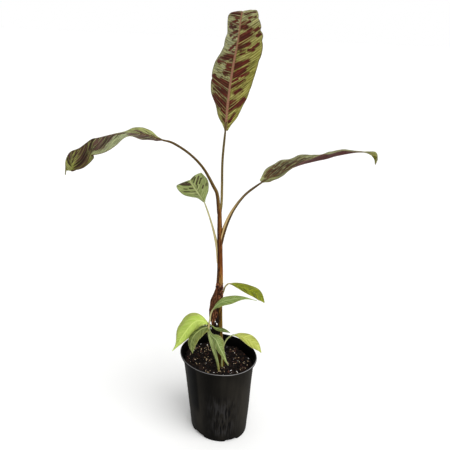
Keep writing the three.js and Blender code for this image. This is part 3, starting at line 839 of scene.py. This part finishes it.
# Lists run from base to tip. face is where the upper side looks at the base, roll a turn round the rib in
# degrees, ribWidth its half width at both ends, tipGreen how green the underside is, and paintedShade how far
# painted shade darkens the leaf where it turns away from the light.
# A pair is for the left and the right half, seen along the leaf: outline is the half's share of the width,
# fold how far it stands up from flat in degrees, curl what its margin adds to that, slant how far the side
# veins lean, sweep how far the margin is drawn to the tip, and sheen how far a pale sage painted sheen covers
# it.
# nicks: side, share of the length, depth, length
# blotches: along and across where one starts and ends, then its half width there, in millimetres
leafBasics = dict(
    slot="sage_leaf", tone={}, face=(0, -1, 0), roll=(0, 0), curl=(0, 0), sweep=((0, 0), (0, 0)),
    nicks=(), tipGreen=(0, 0), paintedShade=(0, 0),
    gap=6.5, relief=0.42, ruffle=2.0, blade=0.6,  # between pleats, their height, the margin's wave, thickness
    channel=0.28, shoulder=0.14, keel=0.62,  # of the rib, as shares of its half width
)
basalLeaf = dict(  # what the small unpatterned leaves at the foot share
    steps=130, across=16, ribWidth=(1.3, 0.5), curl=(-10, -10), slant=([1.1, 1.0, 1.0],) * 2,
    sheen=([0.2, 0.2],) * 2, gap=3.6, relief=0.12, ruffle=0.6, blade=0.45,
)
leaves = dict(
    top_leaf=dict(
        slot="patterned_leaf", width=45, curl=(-25, -25), steps=340, across=28, ribWidth=(2.2, 1.0),
        seed=61,
        rib=[[-12, 4, 651], [-9, 11, 709], [-3, 19, 766], [4, 31, 812], [8, 46, 852], [11, 62, 862],
            [12, 82, 854], [11, 101, 832], [9, 111, 809]],
        outline=([0.05, 0.5, 0.85, 1, 1.05, 1.0, 0.92, 0.7, 0.42, 0.22, 0.05],
            [0.1, 0.55, 0.8, 0.95, 1, 1.05, 0.95, 0.7, 0.4, 0.2, 0.05]),
        fold=([-30, -30, -22, -22, -30, -42, -45, -25, 5, 15, 20],
            [0, -12, -12, -5, 3, 12, 18, 25, 32, 20, 5]),
        nicks=[(1, 0.615, 0.07, 0.012), (1, 0.68, 0.05, 0.01), (1, 0.56, 0.04, 0.014),
            (-1, 0.3, 0.04, 0.01), (-1, 0.52, 0.05, 0.02), (1, 0.45, 0.03, 0.02)],
        slant=([0.75, 0.72, 0.4, 0.0, 0.0, 0.2, 0.4, 0.5, 0.5],
            [0.75, 0.75, 0.75, 0.7, 0.65, 0.6, 0.55, 0.5, 0.5]),
        sheen=([0.1, 0.25, 0.7, 0.85, 0.9, 1, 1, 1, 0.9, 0.7],
            [0, 0, 0, 0, 0.05, 0.2, 0.7, 0.9, 0.8, 0.6]),
        blotches=([(212, 6, 222, 18, 7, 6), (203, 8, 196, 22, 3, 5), (193, 6, 190, 16, 3, 4),
            (182, 6, 177, 24, 3, 3), (172, 4, 169, 17, 2, 1), (158, 3, 147, 18, 3, 2),
            (137, 3, 127, 33, 6, 7), (122, 3, 118, 9, 9, 5), (109, 4, 104, 13, 7, 6),
            (98, 36, 96, 42, 2, 3), (97, 18, 96, 21, 1, 1), (81, 3, 89, 38, 9, 6), (64, 3, 75, 32, 8, 4),
            (44, 3, 56, 31, 9, 8), (31, 2, 37, 13, 2, 2), (18, 2, 26, 9, 3, 2), (232, 4, 236, 24, 6, 5),
            (256, 3, 262, 18, 6, 4), (280, 3, 284, 10, 4, 3)],
            [(213, 6, 219, 24, 2, 2), (205, 16, 209, 27, 2, 2), (196, 6, 199, 18, 3, 2),
            (190, 3, 186, 20, 5, 4), (188, 36, 191, 41, 2, 2), (184, 27, 187, 34, 2, 4),
            (176, 34, 180, 39, 2, 2), (167, 3, 177, 22, 6, 4), (152, 3, 161, 22, 5, 3),
            (150, 22, 153, 31, 2, 2), (155, 30, 164, 39, 2, 2), (146, 8, 150, 16, 2, 1),
            (140, 9, 144, 17, 2, 1), (118, 3, 131, 26, 7, 3), (110, 10, 124, 29, 2, 1),
            (101, 4, 110, 22, 5, 6), (90, 3, 96, 12, 2, 2), (80, 4, 90, 18, 3, 2), (84, 11, 97, 26, 3, 2),
            (70, 12, 78, 23, 4, 3), (43, 3, 51, 22, 6, 5), (50, 20, 61, 30, 4, 4), (50, 3, 57, 13, 3, 2),
            (36, 3, 40, 8, 2, 2), (16, 5, 33, 15, 2, 2), (228, 4, 236, 22, 4, 3), (250, 3, 256, 16, 5, 3)]),
    ),
    left_leaf=dict(
        slot="patterned_leaf", face=(0, 0, 1), width=42,
        sweep=([0, 0, 0, 0, 0, 0.03, 0.15, 0.2, 0.16, 0.2, 0], (0, 0)), drip=(0.94, 0.965), steps=260,
        across=26, ribWidth=(2.2, 0.9), seed=64,
        rib=[[-124, -28, 634], [-142, -32, 640], [-161, -37, 645], [-190, -44, 647], [-210, -48, 645],
            [-238, -53, 638], [-250, -55, 635], [-270, -59, 620], [-287, -61, 612], [-295, -63, 597],
            [-296, -64, 583], [-297, -65, 571]],
        outline=([0.05, 0.4, 0.7, 0.9, 1, 1.05, 1.05, 1.1, 1.05, 1.1, 1.2, 1.08, 0.8, 0.55, 0.3],
            [0.03, 0.5, 0.85, 0.95, 1, 0.95, 0.85, 0.75, 0.6, 0.35, 0.05]),
        fold=([-25, -10, -5, 3, -15, -25, -30, -30, -35, -45, -60],
            [10, 15, 7, -4, -10, -11, -13, -20, -30, -40, -50]),
        paintedShade=[0.2, 0, 0, 0, 0, 0.15, 0.65, 0.75, 0.5, 0.3, 0.3],
        slant=([0.6, 0.6, 0.6, 0.5, 0.6, 0.7], [0.6, 0.6, 0.6, 0.6, 0.6, 0.6]),
        sheen=([0.7, 0.7, 0.9, 1, 1, 0.8, 0.2, 0, 0], [0.3, 0.4, 0.4, 0.6, 0.5, 0.3, 0.1, 0, 0]),
        blotches=([(3, 12, 50, 22, 11, 12), (28, 6, 52, 8, 6, 4), (58, 2, 80, 3, 3, 3),
            (78, 3, 91, 4, 4, 3), (104, 4, 116, 24, 10, 9), (124, 4, 132, 20, 9, 9),
            (147, 3, 156, 42, 7, 7), (162, 4, 170, 30, 2, 1), (170, 4, 180, 28, 2, 1),
            (179, 2, 183, 8, 4, 3), (178, 10, 190, 28, 1, 1), (188, 4, 198, 16, 2, 1)],
            [(42, 10, 51, 23, 3, 2), (20, 2, 42, 5, 2, 2), (70, 4, 80, 22, 4, 3), (96, 4, 108, 30, 8, 5),
            (122, 3, 134, 28, 7, 6), (148, 3, 160, 26, 8, 6), (172, 3, 184, 18, 4, 3)]),
        # blotchRed here is a pale mauve: painted sheen over parts of the blotches
        tone=dict(main=(154, 158, 74), deep=(62, 48, 18), lime=(176, 186, 62), sheen=(150, 160, 118),
            sheenPale=(182, 190, 150), pale=(180, 184, 120), rib=(78, 38, 26), blotch=(44, 14, 10),
            blotchRed=(94, 60, 62), blotchSheen=0.06, blotchVeins=0.2, veinShade=0.3, wideGap=10),
    ),
    right_leaf=dict(
        slot="patterned_leaf", face=(0, 0, 1), width=38, steps=300, across=24, ribWidth=(2.2, 0.8), seed=67,
        rib=[[61, -4, 556], [78, 0, 566], [95, 2, 573], [110, 4, 582], [135, 8, 592], [165, 12, 600],
            [183, 14, 604], [201, 15, 610], [236, 19, 617], [258, 22, 618], [277, 23, 619], [283, 24, 606],
            [281, 26, 594]],
        outline=([0.2, 0.65, 0.87, 1, 1, 0.95, 0.85, 0.75, 0.65, 0.55, 0.55, 0.55, 0.05],
            [0.05, 0.6, 0.87, 1, 1, 0.95, 0.85, 0.72, 0.45, 0.36, 0.5, 0.52, 0.05]),
        fold=([30, 25, 22, 17, 8, 11, 7, 2, 4, 6, 4, -4, -13, -25, -40],
            [-7, 0, 8, 14, 22, 28, 32, 34, 34, 37, 29, 15, -3, -27, -50]),
        slant=([1.9, 1.9, 1.7, 1.2, 0.8], [1.0, 1.0, 1.0, 0.8, 0.6]),
        sheen=([0.8, 0.9, 0.9, 0.9, 0.9, 0.9, 0.8, 0.7, 0.1, 0],
            [0.5, 0.5, 0.5, 0.5, 0.5, 0.5, 0.4, 0.3, 0, 0]),
        tipGreen=[0, 0, 0, 0, 0, 0, 0, 0, 0.5, 1, 1],
        blotches=([(12, 8, 30, 18, 2, 1), (16, 4, 34, 12, 2, 2), (20, 17, 38, 28, 2, 1),
            (28, 3, 46, 10, 3, 2), (30, 12, 44, 19, 4, 3), (36, 23, 54, 32, 2, 1), (44, 12, 64, 22, 3, 2),
            (46, 4, 62, 9, 2, 3), (52, 23, 70, 31, 2, 2), (58, 12, 78, 20, 4, 3), (64, 3, 90, 8, 4, 4),
            (74, 22, 90, 29, 2, 1), (80, 14, 98, 21, 3, 1), (88, 5, 112, 11, 4, 3), (98, 16, 112, 20, 2, 1),
            (112, 3, 132, 9, 4, 3), (140, 3, 156, 12, 4, 3), (163, 2, 178, 7, 4, 3)],
            [(28, 3, 40, 12, 2.4, 2), (44, 3, 56, 16, 3, 2.6), (57, 4, 70, 23, 4, 3.4),
            (92, 3, 112, 22, 7, 6), (116, 4, 136, 20, 9, 8), (142, 3, 158, 16, 9, 8),
            (165, 3, 184, 10, 8, 5)]),
        tone=dict(main=(130, 138, 80), deep=(64, 58, 30), lime=(134, 136, 38), sheen=(154, 160, 118),
            sheenPale=(182, 186, 148), under=(86, 42, 34), underPale=(106, 62, 48), blotch=(42, 16, 12),
            rib=(92, 54, 44), blotchVeins=0.3, veinShade=0.3, wideGap=9, tear=3.2),
    ),
    small_leaf=dict(
        width=33, curl=(-8, -42), steps=170, across=24, ribWidth=(2.0, 0.9), gap=5.0, relief=0.18, seed=70,
        rib=[[-47, -3, 512], [-58, -1, 527], [-69, 4, 541], [-76, 13, 550], [-73, 26, 546], [-67, 39, 537],
            [-59, 48, 525]],
        outline=([0.15, 0.6, 0.85, 0.9, 0.9, 0.7, 0.4, 0.05],
            [0.1, 0.65, 0.95, 0.9, 0.75, 0.55, 0.35, 0.05]),
        fold=([-64, -44, -17, 10, 26, 28, 25], [50, 35, 26, 22, 16, 8, 0]),
        slant=([0.6, 0.5, 0.4, 0.4], [0.6, 0.6, 0.5, 0.4]),
        sheen=([0.3, 0.3, 0.5, 0.6], [0.4, 0.5, 0.6, 0.6]),
        blotches=([(42, 3, 54, 22, 1.4, 1.4), (50, 6, 57, 24, 1.6, 1.4), (57, 4, 62, 20, 1.2, 1),
            (35, 3, 39, 10, 1.2, 1), (33, 13, 40, 22, 1, 1), (20, 4, 24, 8, 1, 1), (46, 3, 48, 9, 1, 1),
            (26, 3, 31, 12, 1, 0.6), (40, 14, 45, 20, 0.8, 0.6), (68, 3, 74, 18, 2, 2),
            (84, 3, 88, 12, 2, 2)],
            [(55, 3, 56, 13, 1.6, 1.4), (49, 5, 52, 13, 1.2, 1), (43, 5, 48, 12, 1.4, 1.4),
            (39, 13, 46, 20, 1.2, 1), (36, 8, 40, 13, 1.2, 1), (34, 14, 41, 22, 1, 1),
            (24, 24, 27, 27, 1.4, 1.2), (24, 15, 27, 19, 1, 1), (38, 23, 41, 27, 1, 1),
            (30, 5, 33, 9, 1, 1), (64, 3, 70, 18, 2, 2)]),
        tone=dict(main=(138, 152, 80), deep=(104, 116, 56), pale=(178, 188, 124), lime=(138, 154, 80),
            sheen=(146, 156, 102), sheenPale=(172, 178, 130), blotch=(54, 46, 28), blotchRed=(72, 54, 42),
            rib=(178, 184, 126), under=(140, 146, 98), underPale=(160, 164, 120),
            underBlotch=(110, 100, 76), margin=(120, 130, 84), veinGap=4.0),
    ),
    sucker_leaf_left=dict(
        slot="bright_leaf", width=25, roll=(20, 30, 35, 35), curl=(-15, -15),
        rib=[[-31, -43, 267], [-34, -45, 274], [-45, -46, 278], [-58, -47, 274], [-71, -50, 259],
            [-81, -52, 244], [-89, -55, 229], [-100, -57, 212]],
        outline=([0.05, 0.4, 0.6, 0.75, 0.9, 0.9, 0.75, 0.5, 0.2, 0.03],
            [0.05, 0.2, 0.6, 0.95, 1.15, 1.1, 0.9, 0.5, 0.15, 0.03]),
        fold=([20, -10, -30, -45, -45, -50, -45], [20, -4, -26, -36, -32, -34, -32]),
        tone=plain((182, 208, 84), (190, 212, 98), (204, 220, 120), (168, 198, 74), (200, 218, 116),
            (170, 190, 104), (214, 224, 140), 3.6),
    ),
    sucker_leaf_low=dict(
        slot="olive_leaf", width=13, roll=(20, 30), curl=(0, 0),
        rib=[[-30, -44, 264], [-42, -46, 260], [-51, -48, 253], [-59, -51, 244], [-63, -53, 230],
            [-62, -54, 220], [-59, -55, 208]],
        outline=([0.65, 0.9, 1, 1, 0.9, 0.6, 0.05], [0.6, 0.85, 0.95, 1, 0.9, 0.55, 0.05]),
        fold=([3, 0, 0, -3, -7], [-72, -60, -52, -36, -20]),
        tone=plain((92, 106, 38), (110, 122, 60), (132, 144, 82), (62, 76, 20), (160, 170, 104),
            (140, 152, 90), (190, 200, 130), 3.0),
    ),
    sucker_leaf_front=dict(
        face=(0, -1, 0.3), width=13,
        rib=[[-29, -46, 264], [-23, -50, 249], [-13, -53, 240], [-6, -56, 226], [3, -58, 210],
            [9, -60, 197], [14, -61, 187]],
        outline=([0.1, 0.45, 0.9, 1, 0.8, 0.5, 0.25, 0.05], [0.1, 0.4, 0.75, 0.9, 0.8, 0.5, 0.25, 0.05]),
        fold=([70, 40, -18, -50, -65], [-65, -50, -35, -20, -5]),
        tone=plain((116, 138, 66), (134, 152, 86), (158, 172, 106), (86, 108, 44), (178, 190, 128),
            (138, 148, 100), (196, 208, 150), 3.0),
    ),
    sucker_leaf_cross=dict(
        face=(0, -0.3, 1), width=6, curl=(0, 0),
        rib=[[-28, -43, 267.5], [-23, -44, 267], [-16, -44, 262], [-7, -42, 258], [5, -40, 254],
            [15, -38, 249]],
        outline=([0.12, 0.12, 0.35, 0.75, 0.9, 0.65, 0.1], [0.12, 0.25, 0.65, 0.85, 0.8, 0.55, 0.1]),
        fold=([0, -7, -6], [-16, 2, 9]),
        tone=plain((62, 84, 30), (82, 104, 46), (112, 132, 66), (38, 54, 18), (140, 156, 90),
            (110, 128, 70), (140, 152, 96), 2.6),
    ),
    sucker_leaf_right=dict(
        face=(-0.5, -0.5, 0.9), width=13,
        rib=[[-22, -46, 303], [-14, -44, 312], [-2, -43, 321], [11, -41, 324], [25, -39, 327],
            [39, -38, 328], [51, -37, 326], [65, -36, 322]],
        outline=([0.12, 0.73, 0.97, 0.9, 0.62, 0.3, 0.1, 0.05],) * 2,
        fold=([-20, -12, -4, -2, 0], [28, 18, 9, 4, 0]),
        tone=plain((124, 148, 74), (134, 156, 84), (156, 178, 106), (98, 120, 50), (166, 184, 116),
            (134, 148, 98), (172, 192, 124), 3.0),
    ),
    node_leaf_right=dict(
        slot="olive_leaf", face=(0, -0.45, 0.9), width=13,
        rib=[[8, -15, 347], [19, -16, 346], [33, -18, 342], [49, -20, 337], [63, -22, 332], [73, -23, 323],
            [81, -24, 313]],
        outline=([0.12, 0.7, 1, 1, 0.75, 0.1],) * 2,
        fold=([-11, -8, 2, 14, 23], [29, 28, 19, 3, -12]),
        tone=plain((98, 112, 4), (112, 124, 12), (164, 172, 22), (52, 56, 2), (150, 160, 44),
            (150, 158, 96), (150, 152, 50), 3.2),
    ),
    ground_leaf_right=dict(
        slot="yellow_leaf", face=(0, -0.45, 0.9), width=14,
        rib=[[20, -26, 237], [32, -27, 237], [45, -28, 233], [58, -29, 227], [69, -30, 219], [75, -30, 212],
            [81, -31, 202]],
        outline=([0.1, 0.7, 1, 1, 0.7, 0.1],) * 2,
        fold=([-19, -9, 0, -2, -2], [41, 28, 14, 12, 10]),
        tone=plain((184, 192, 76), (196, 202, 96), (210, 216, 120), (146, 156, 48), (198, 202, 118),
            (190, 190, 110), (222, 222, 146), 3.0),
    ),
)


def blotchField(along, away, blotches):
    # 1 in the middle of a blotch, one half at its edge and 0 beyond
    field = np.zeros_like(away)
    for a0, x0, a1, x1, w0, w1 in blotches:
        run = np.array([a1 - a0, x1 - x0], float)
        share = np.clip(((along - a0) * run[0] + (away - x0) * run[1]) / run.dot(run), 0, 1)
        gap = np.hypot(along - a0 - share * run[0], away - x0 - share * run[1])
        field = np.maximum(field, 1 - 0.5 * gap / (w0 + (w1 - w0) * share))
    return field


def bladeGrid(leaf):
    # middle surface from the left margin over the rib to the right margin
    rib, tangent, normal, side, length = lineFrames(leaf["rib"], leaf["face"], leaf["steps"], leaf["roll"])
    t = np.linspace(0, 1, leaf["steps"] + 1)
    wobble = softNoise(stacked(t * length / mm, 0, 0), 16, leaf["seed"])
    narrow = 1 - 0.84 * softStep(*leaf["drip"], t) if "drip" in leaf else 1  # a thin tip that water runs off
    widths = [leaf["width"] * mm * smoothValues(outline, t) * (1 + 0.015 * wobble) * narrow
              for outline in leaf["outline"]]
    for hand, place, depth, reach in leaf["nicks"]:
        widths[hand > 0] *= 1 - depth * bump(t, place, reach)
    shares = np.linspace(0, 1, leaf["across"] + 1) ** 1.3
    halves = []
    for hand, width, fold, curl, sweep in zip((-1, 1), widths, leaf["fold"], leaf["curl"], leaf["sweep"]):
        rows = [rib]
        for near, far in zip(shares, shares[1:]):
            angle = np.radians(smoothValues(fold, t) + curl * round((near + far) / 2, 6))[:, None]
            out = hand * side * np.cos(angle) + normal * np.sin(angle)
            out = out + tangent * smoothValues(sweep, t)[:, None]
            rows.append(rows[-1] + (width * (far - near))[:, None] * out)
        halves.append(np.stack(rows, 1))
    grid = np.concatenate([halves[0][:, :0:-1], halves[1]], 1)
    signed = np.concatenate([-shares[:0:-1], shares])
    normals = unit(np.cross(np.gradient(grid, axis=1), np.gradient(grid, axis=0)))
    reach = np.where(signed > 0, widths[1][:, None], widths[0][:, None]) / mm
    return grid, normals, t[:, None], signed, reach, length / mm


def makeLeaf(node, leaf):
    grid, normals, t, signed, reach, length = bladeGrid(leaf)
    share = np.abs(signed)
    onRight = signed > 0
    along = t * length
    away = share * reach

    def eachHalf(key):
        left, right = (smoothValues(values, t) for values in leaf[key])
        return np.where(onRight, right, left)

    vein = along - eachHalf("slant") * away - 0.25 * away**2 / leaf["width"]
    vein = vein + 1.6 * softNoise(stacked(vein, onRight * 40.0, 0), 9, leaf["seed"] + 1)
    ribReach = leaf["ribWidth"][0] + (leaf["ribWidth"][1] - leaf["ribWidth"][0]) * softStep(0, 1, t)
    fromRib = away / ribReach
    pleat = leaf["relief"] * np.cos(2 * math.pi * vein / leaf["gap"])
    pleat = pleat * softStep(0.6, 2.2, fromRib) * (1 - share**5)
    spread = stacked(along, onRight * 60.0 + away * 0.4, 0)
    wave = softNoise(spread, 24, leaf["seed"] + 2) + 0.5 * softNoise(spread, 11, 9)
    middle = pleat + leaf["ruffle"] * wave * share**2.2 * np.minimum(1, away / 12)
    bladeHalf = leaf["blade"] / 2 * (1 - 0.45 * share)
    channel = -leaf["channel"] * ribReach * bump(away, 0, 0.45 * ribReach)
    shoulder = leaf["shoulder"] * ribReach * bump(away, ribReach, 0.35 * ribReach)
    keel = leaf["keel"] * ribReach * bump(away, 0, 0.7 * ribReach) * (1 - 0.35 * t)
    upper = grid + normals * ((middle + bladeHalf + channel + shoulder) * mm)[..., None]
    lower = grid + normals * ((middle - bladeHalf - keel) * mm)[..., None]
    values = {
        "vein": vein, "across": np.where(onRight, away, -away), "edge": share, "sheen": eachHalf("sheen"),
        "ribTone": 1 - softStep(0.75, 1.15, fromRib), "ribShadow": bump(fromRib, 1.4, 0.25),
        "tipGreen": smoothValues(leaf["tipGreen"], t), "paintedShade": smoothValues(leaf["paintedShade"], t),
    }
    if "blotches" in leaf:
        left, right = (blotchField(along, away, blotches) for blotches in leaf["blotches"])
        values["blotch"] = np.where(onRight, right, left)
    piece = closedSheet(node.replace("leaf", "blade"), upper, lower, values)
    finish = leafMaterial(node.replace("_", " "), {**leafTone, **leaf["tone"]})
    return dress(piece, finish, [node])


def makeLeaves():
    for number, (node, leaf) in enumerate(leaves.items()):
        shared = leafBasics if "steps" in leaf else {**leafBasics, **basalLeaf, "seed": 80 + 3 * number}
        makeLeaf(node, {**shared, **leaf})


makeLeaves()
print("leaves made")

# Dead sheath: a crumpled, torn sheet with loose fibres, from the stem's node to the sucker's top

sheath = dict(
    leafBasics, width=9.5, curl=(-25, -25), steps=130, across=18, seed=95,
    rib=[[-13, -24.5, 346], [-17.5, -27, 327], [-20.5, -30, 308], [-21, -33, 291], [-21, -36, 275],
        [-21, -38, 267]],
    outline=([0.4, 0.62, 0.87, 1, 0.95, 0.7],) * 2, fold=([-25, -25, -15],) * 2,
    fibre=[(0.41, (14, 6, 2)), (0.49, (52, 25, 11)), (0.56, (104, 60, 36)), (0.65, (176, 122, 86))],
    halfThick=0.3, shredHalfThick=0.25,
    strands=26, strandRadius=(0.18, 0.4), strandLoose=(0.4, 3.0), strandColour=(110, 68, 42),
    collar=(318, 352),  # heights of the torn sheath that wraps the node
    collarReach=([318, 330, 340, 352], [6.4, 7.2, 7.4, 6.1]),  # heights, and how far it stands out there
    collarTurn=(-150, 125),  # degrees round the stem from the front, clockwise from above
    shredColour=(26, 15, 9),
    shreds=[
        # black torn ends round the sucker's top: the line of each, then its half width
        ([[-17, -34, 270], [-19, -35, 260], [-19, -35, 249], [-16, -34, 238]], 6),
        ([[-11, -32, 262], [-12, -33, 253], [-11, -33, 243], [-8, -32, 233]], 5),
        ([[-28, -36, 267], [-29, -36, 256], [-25, -35, 242]], 5),
        ([[-5, -31, 252], [-7, -32, 245], [-9, -32, 238]], 3),
        ([[-39, -38, 251], [-34, -37, 245], [-29, -36, 238]], 4.5),
        ([[-15, -30, 284], [-13, -30, 275], [-11, -31, 266]], 4.5),
        ([[-32, -41, 272], [-31, -42, 267], [-29, -42, 263]], 2),
        ([[-41, -43, 271], [-38, -44, 269], [-35, -44, 267]], 2.2),
    ],
)


def sheathMaterial():
    paint = newFinish("dry sheath")
    across, vein = (paint.reading(key) for key in ("across", "vein"))
    drawn = paint.grain(paint.joined(paint.times(across, 0.36), paint.times(vein, 0.09), 0.0), 1.2, 4, 0.7)
    return paint.done(paint.colourRun(drawn, sheath["fibre"]), 0.78, 0.1, drawn, 0.0012)


def makeSheath():
    grid, normals, t, signed, reach, length = bladeGrid(sheath)
    along = t * length
    away = signed * reach
    flat = stacked(along * 0.3, away, 0)
    crumple = 1.8 * softNoise(flat, 4.5, 96) + 0.7 * softNoise(flat, 1.6, 97)
    tear = softNoise(stacked(away, 0, 0), 2.1, 98)
    hang = softStep(0.75, 1.0, along / length) * (tear * 7 - 2)  # ragged lower edge
    down = unit(np.gradient(grid, axis=0))
    middle = grid + normals * (crumple * mm)[..., None] + down * (hang * mm)[..., None]
    thick = normals * sheath["halfThick"] * mm
    dry = sheathMaterial()
    sheet = closedSheet("dead_sheath", middle + thick, middle - thick, {"vein": along, "across": away})
    dress(sheet, dry, ["dry_sheath"])
    strandFinish = chipMaterial("sheath fibre", sheath["strandColour"])
    dress(makeStrands(middle, normals, down), strandFinish)
    dress(makeCollar(), dry)
    rot = chipMaterial("black shred", sheath["shredColour"])
    for number, (line, half) in enumerate(sheath["shreds"]):
        dress(makeShred(number + 1, line, half), rot)


def makeStrands(middle, normals, down):
    # loose fibres that leave the sheath towards their lower ends
    draw = np.random.default_rng(sheath["seed"])
    rows, columns = middle.shape[:2]
    steps = 12
    ring = roundAngles(5)[:, None]
    strands = []
    for k in range(sheath["strands"]):
        row = int(draw.uniform(0.05, 0.55) * rows)
        column = int(draw.uniform(0.05, 0.95) * columns)
        rowEnd = min(rows - 1, row + int(draw.uniform(0.25, 0.6) * rows))
        chosen = np.linspace(row, rowEnd, steps).astype(int), column
        loose = np.linspace(0, 1, steps) ** 2 * draw.uniform(*sheath["strandLoose"]) * mm
        normal = normals[chosen]
        line = middle[chosen] + normal * (loose + 0.5 * mm)[:, None]
        radius = draw.uniform(*sheath["strandRadius"]) * mm * np.linspace(1, 0.4, steps)
        radius = radius[:, None, None]
        sideways = unit(np.cross(down[chosen], normal))[:, None]
        strands.append(line[:, None] + radius * (np.cos(ring) * normal[:, None] + np.sin(ring) * sideways))
    return joinTubes("sheath_fibres", strands)


def makeCollar():
    low, high = sheath["collar"]
    first, last = np.radians(sheath["collarTurn"])
    v = np.linspace(0, 1, 61)[:, None]
    u = np.linspace(0, 1, 91)
    turn = first + (last - first) * u
    flat = stacked(turn * 6, v * (high - low), 0)
    tear = softNoise(flat * (1, 0, 0), 2.0, 151)
    height = low + (high - low) * v - 5 * tear * (1 - v) ** 2 + 4 * tear * v**3
    height = height - 8 * (u - 0.35) ** 2 * (1 - v)  # the lower edge rises towards both ends
    crumple = 0.7 * softNoise(flat, 4.0, 152) + 0.5 * softNoise(flat, 1.5, 153)
    line = np.array(stems["pseudostem"]["line"], float)
    x, y = (np.interp(height, line[:, 2], line[:, k]) for k in (0, 1))
    reach = np.interp(height, *sheath["collarReach"]) + crumple
    out = stacked(np.sin(turn), -np.cos(turn), 0)
    middle = stacked(x, y, height) * mm + out * (reach * mm)[..., None]
    thick = out * sheath["halfThick"] * mm
    return closedSheet("node_collar", middle + thick, middle - thick, {"vein": height, "across": turn * 7})


def makeShred(number, line, half):
    # a short strip that is creased along its length and torn at both ends
    steps = 40
    middle, _, normal, side, length = lineFrames(line, (0, -1, 0.2), steps)
    t = np.linspace(0, 1, steps + 1)[:, None]
    u = np.linspace(-1, 1, 13)
    spread = stacked(t * length / mm, u * half, 0)
    crease = 1.1 * softNoise(spread, 3.2, 100 + number) + 0.4 * softNoise(spread, 1.3, 120 + number)
    ragged = 0.85 + 0.2 * softNoise(spread * (1, 0.2, 1), 2.6, 140 + number)
    reach = half * ragged * (1 - np.abs(2 * t - 1) ** 6 * 0.6)
    side, normal = side[:, None], normal[:, None]
    sheet = middle[:, None] + (side * (u * reach)[..., None] + normal * crease[..., None]) * mm
    thick = normal * sheath["shredHalfThick"] * mm
    return closedSheet("dead_shred_" + str(number), sheet + thick, sheet - thick, {})


makeSheath()
print("dead sheath made")
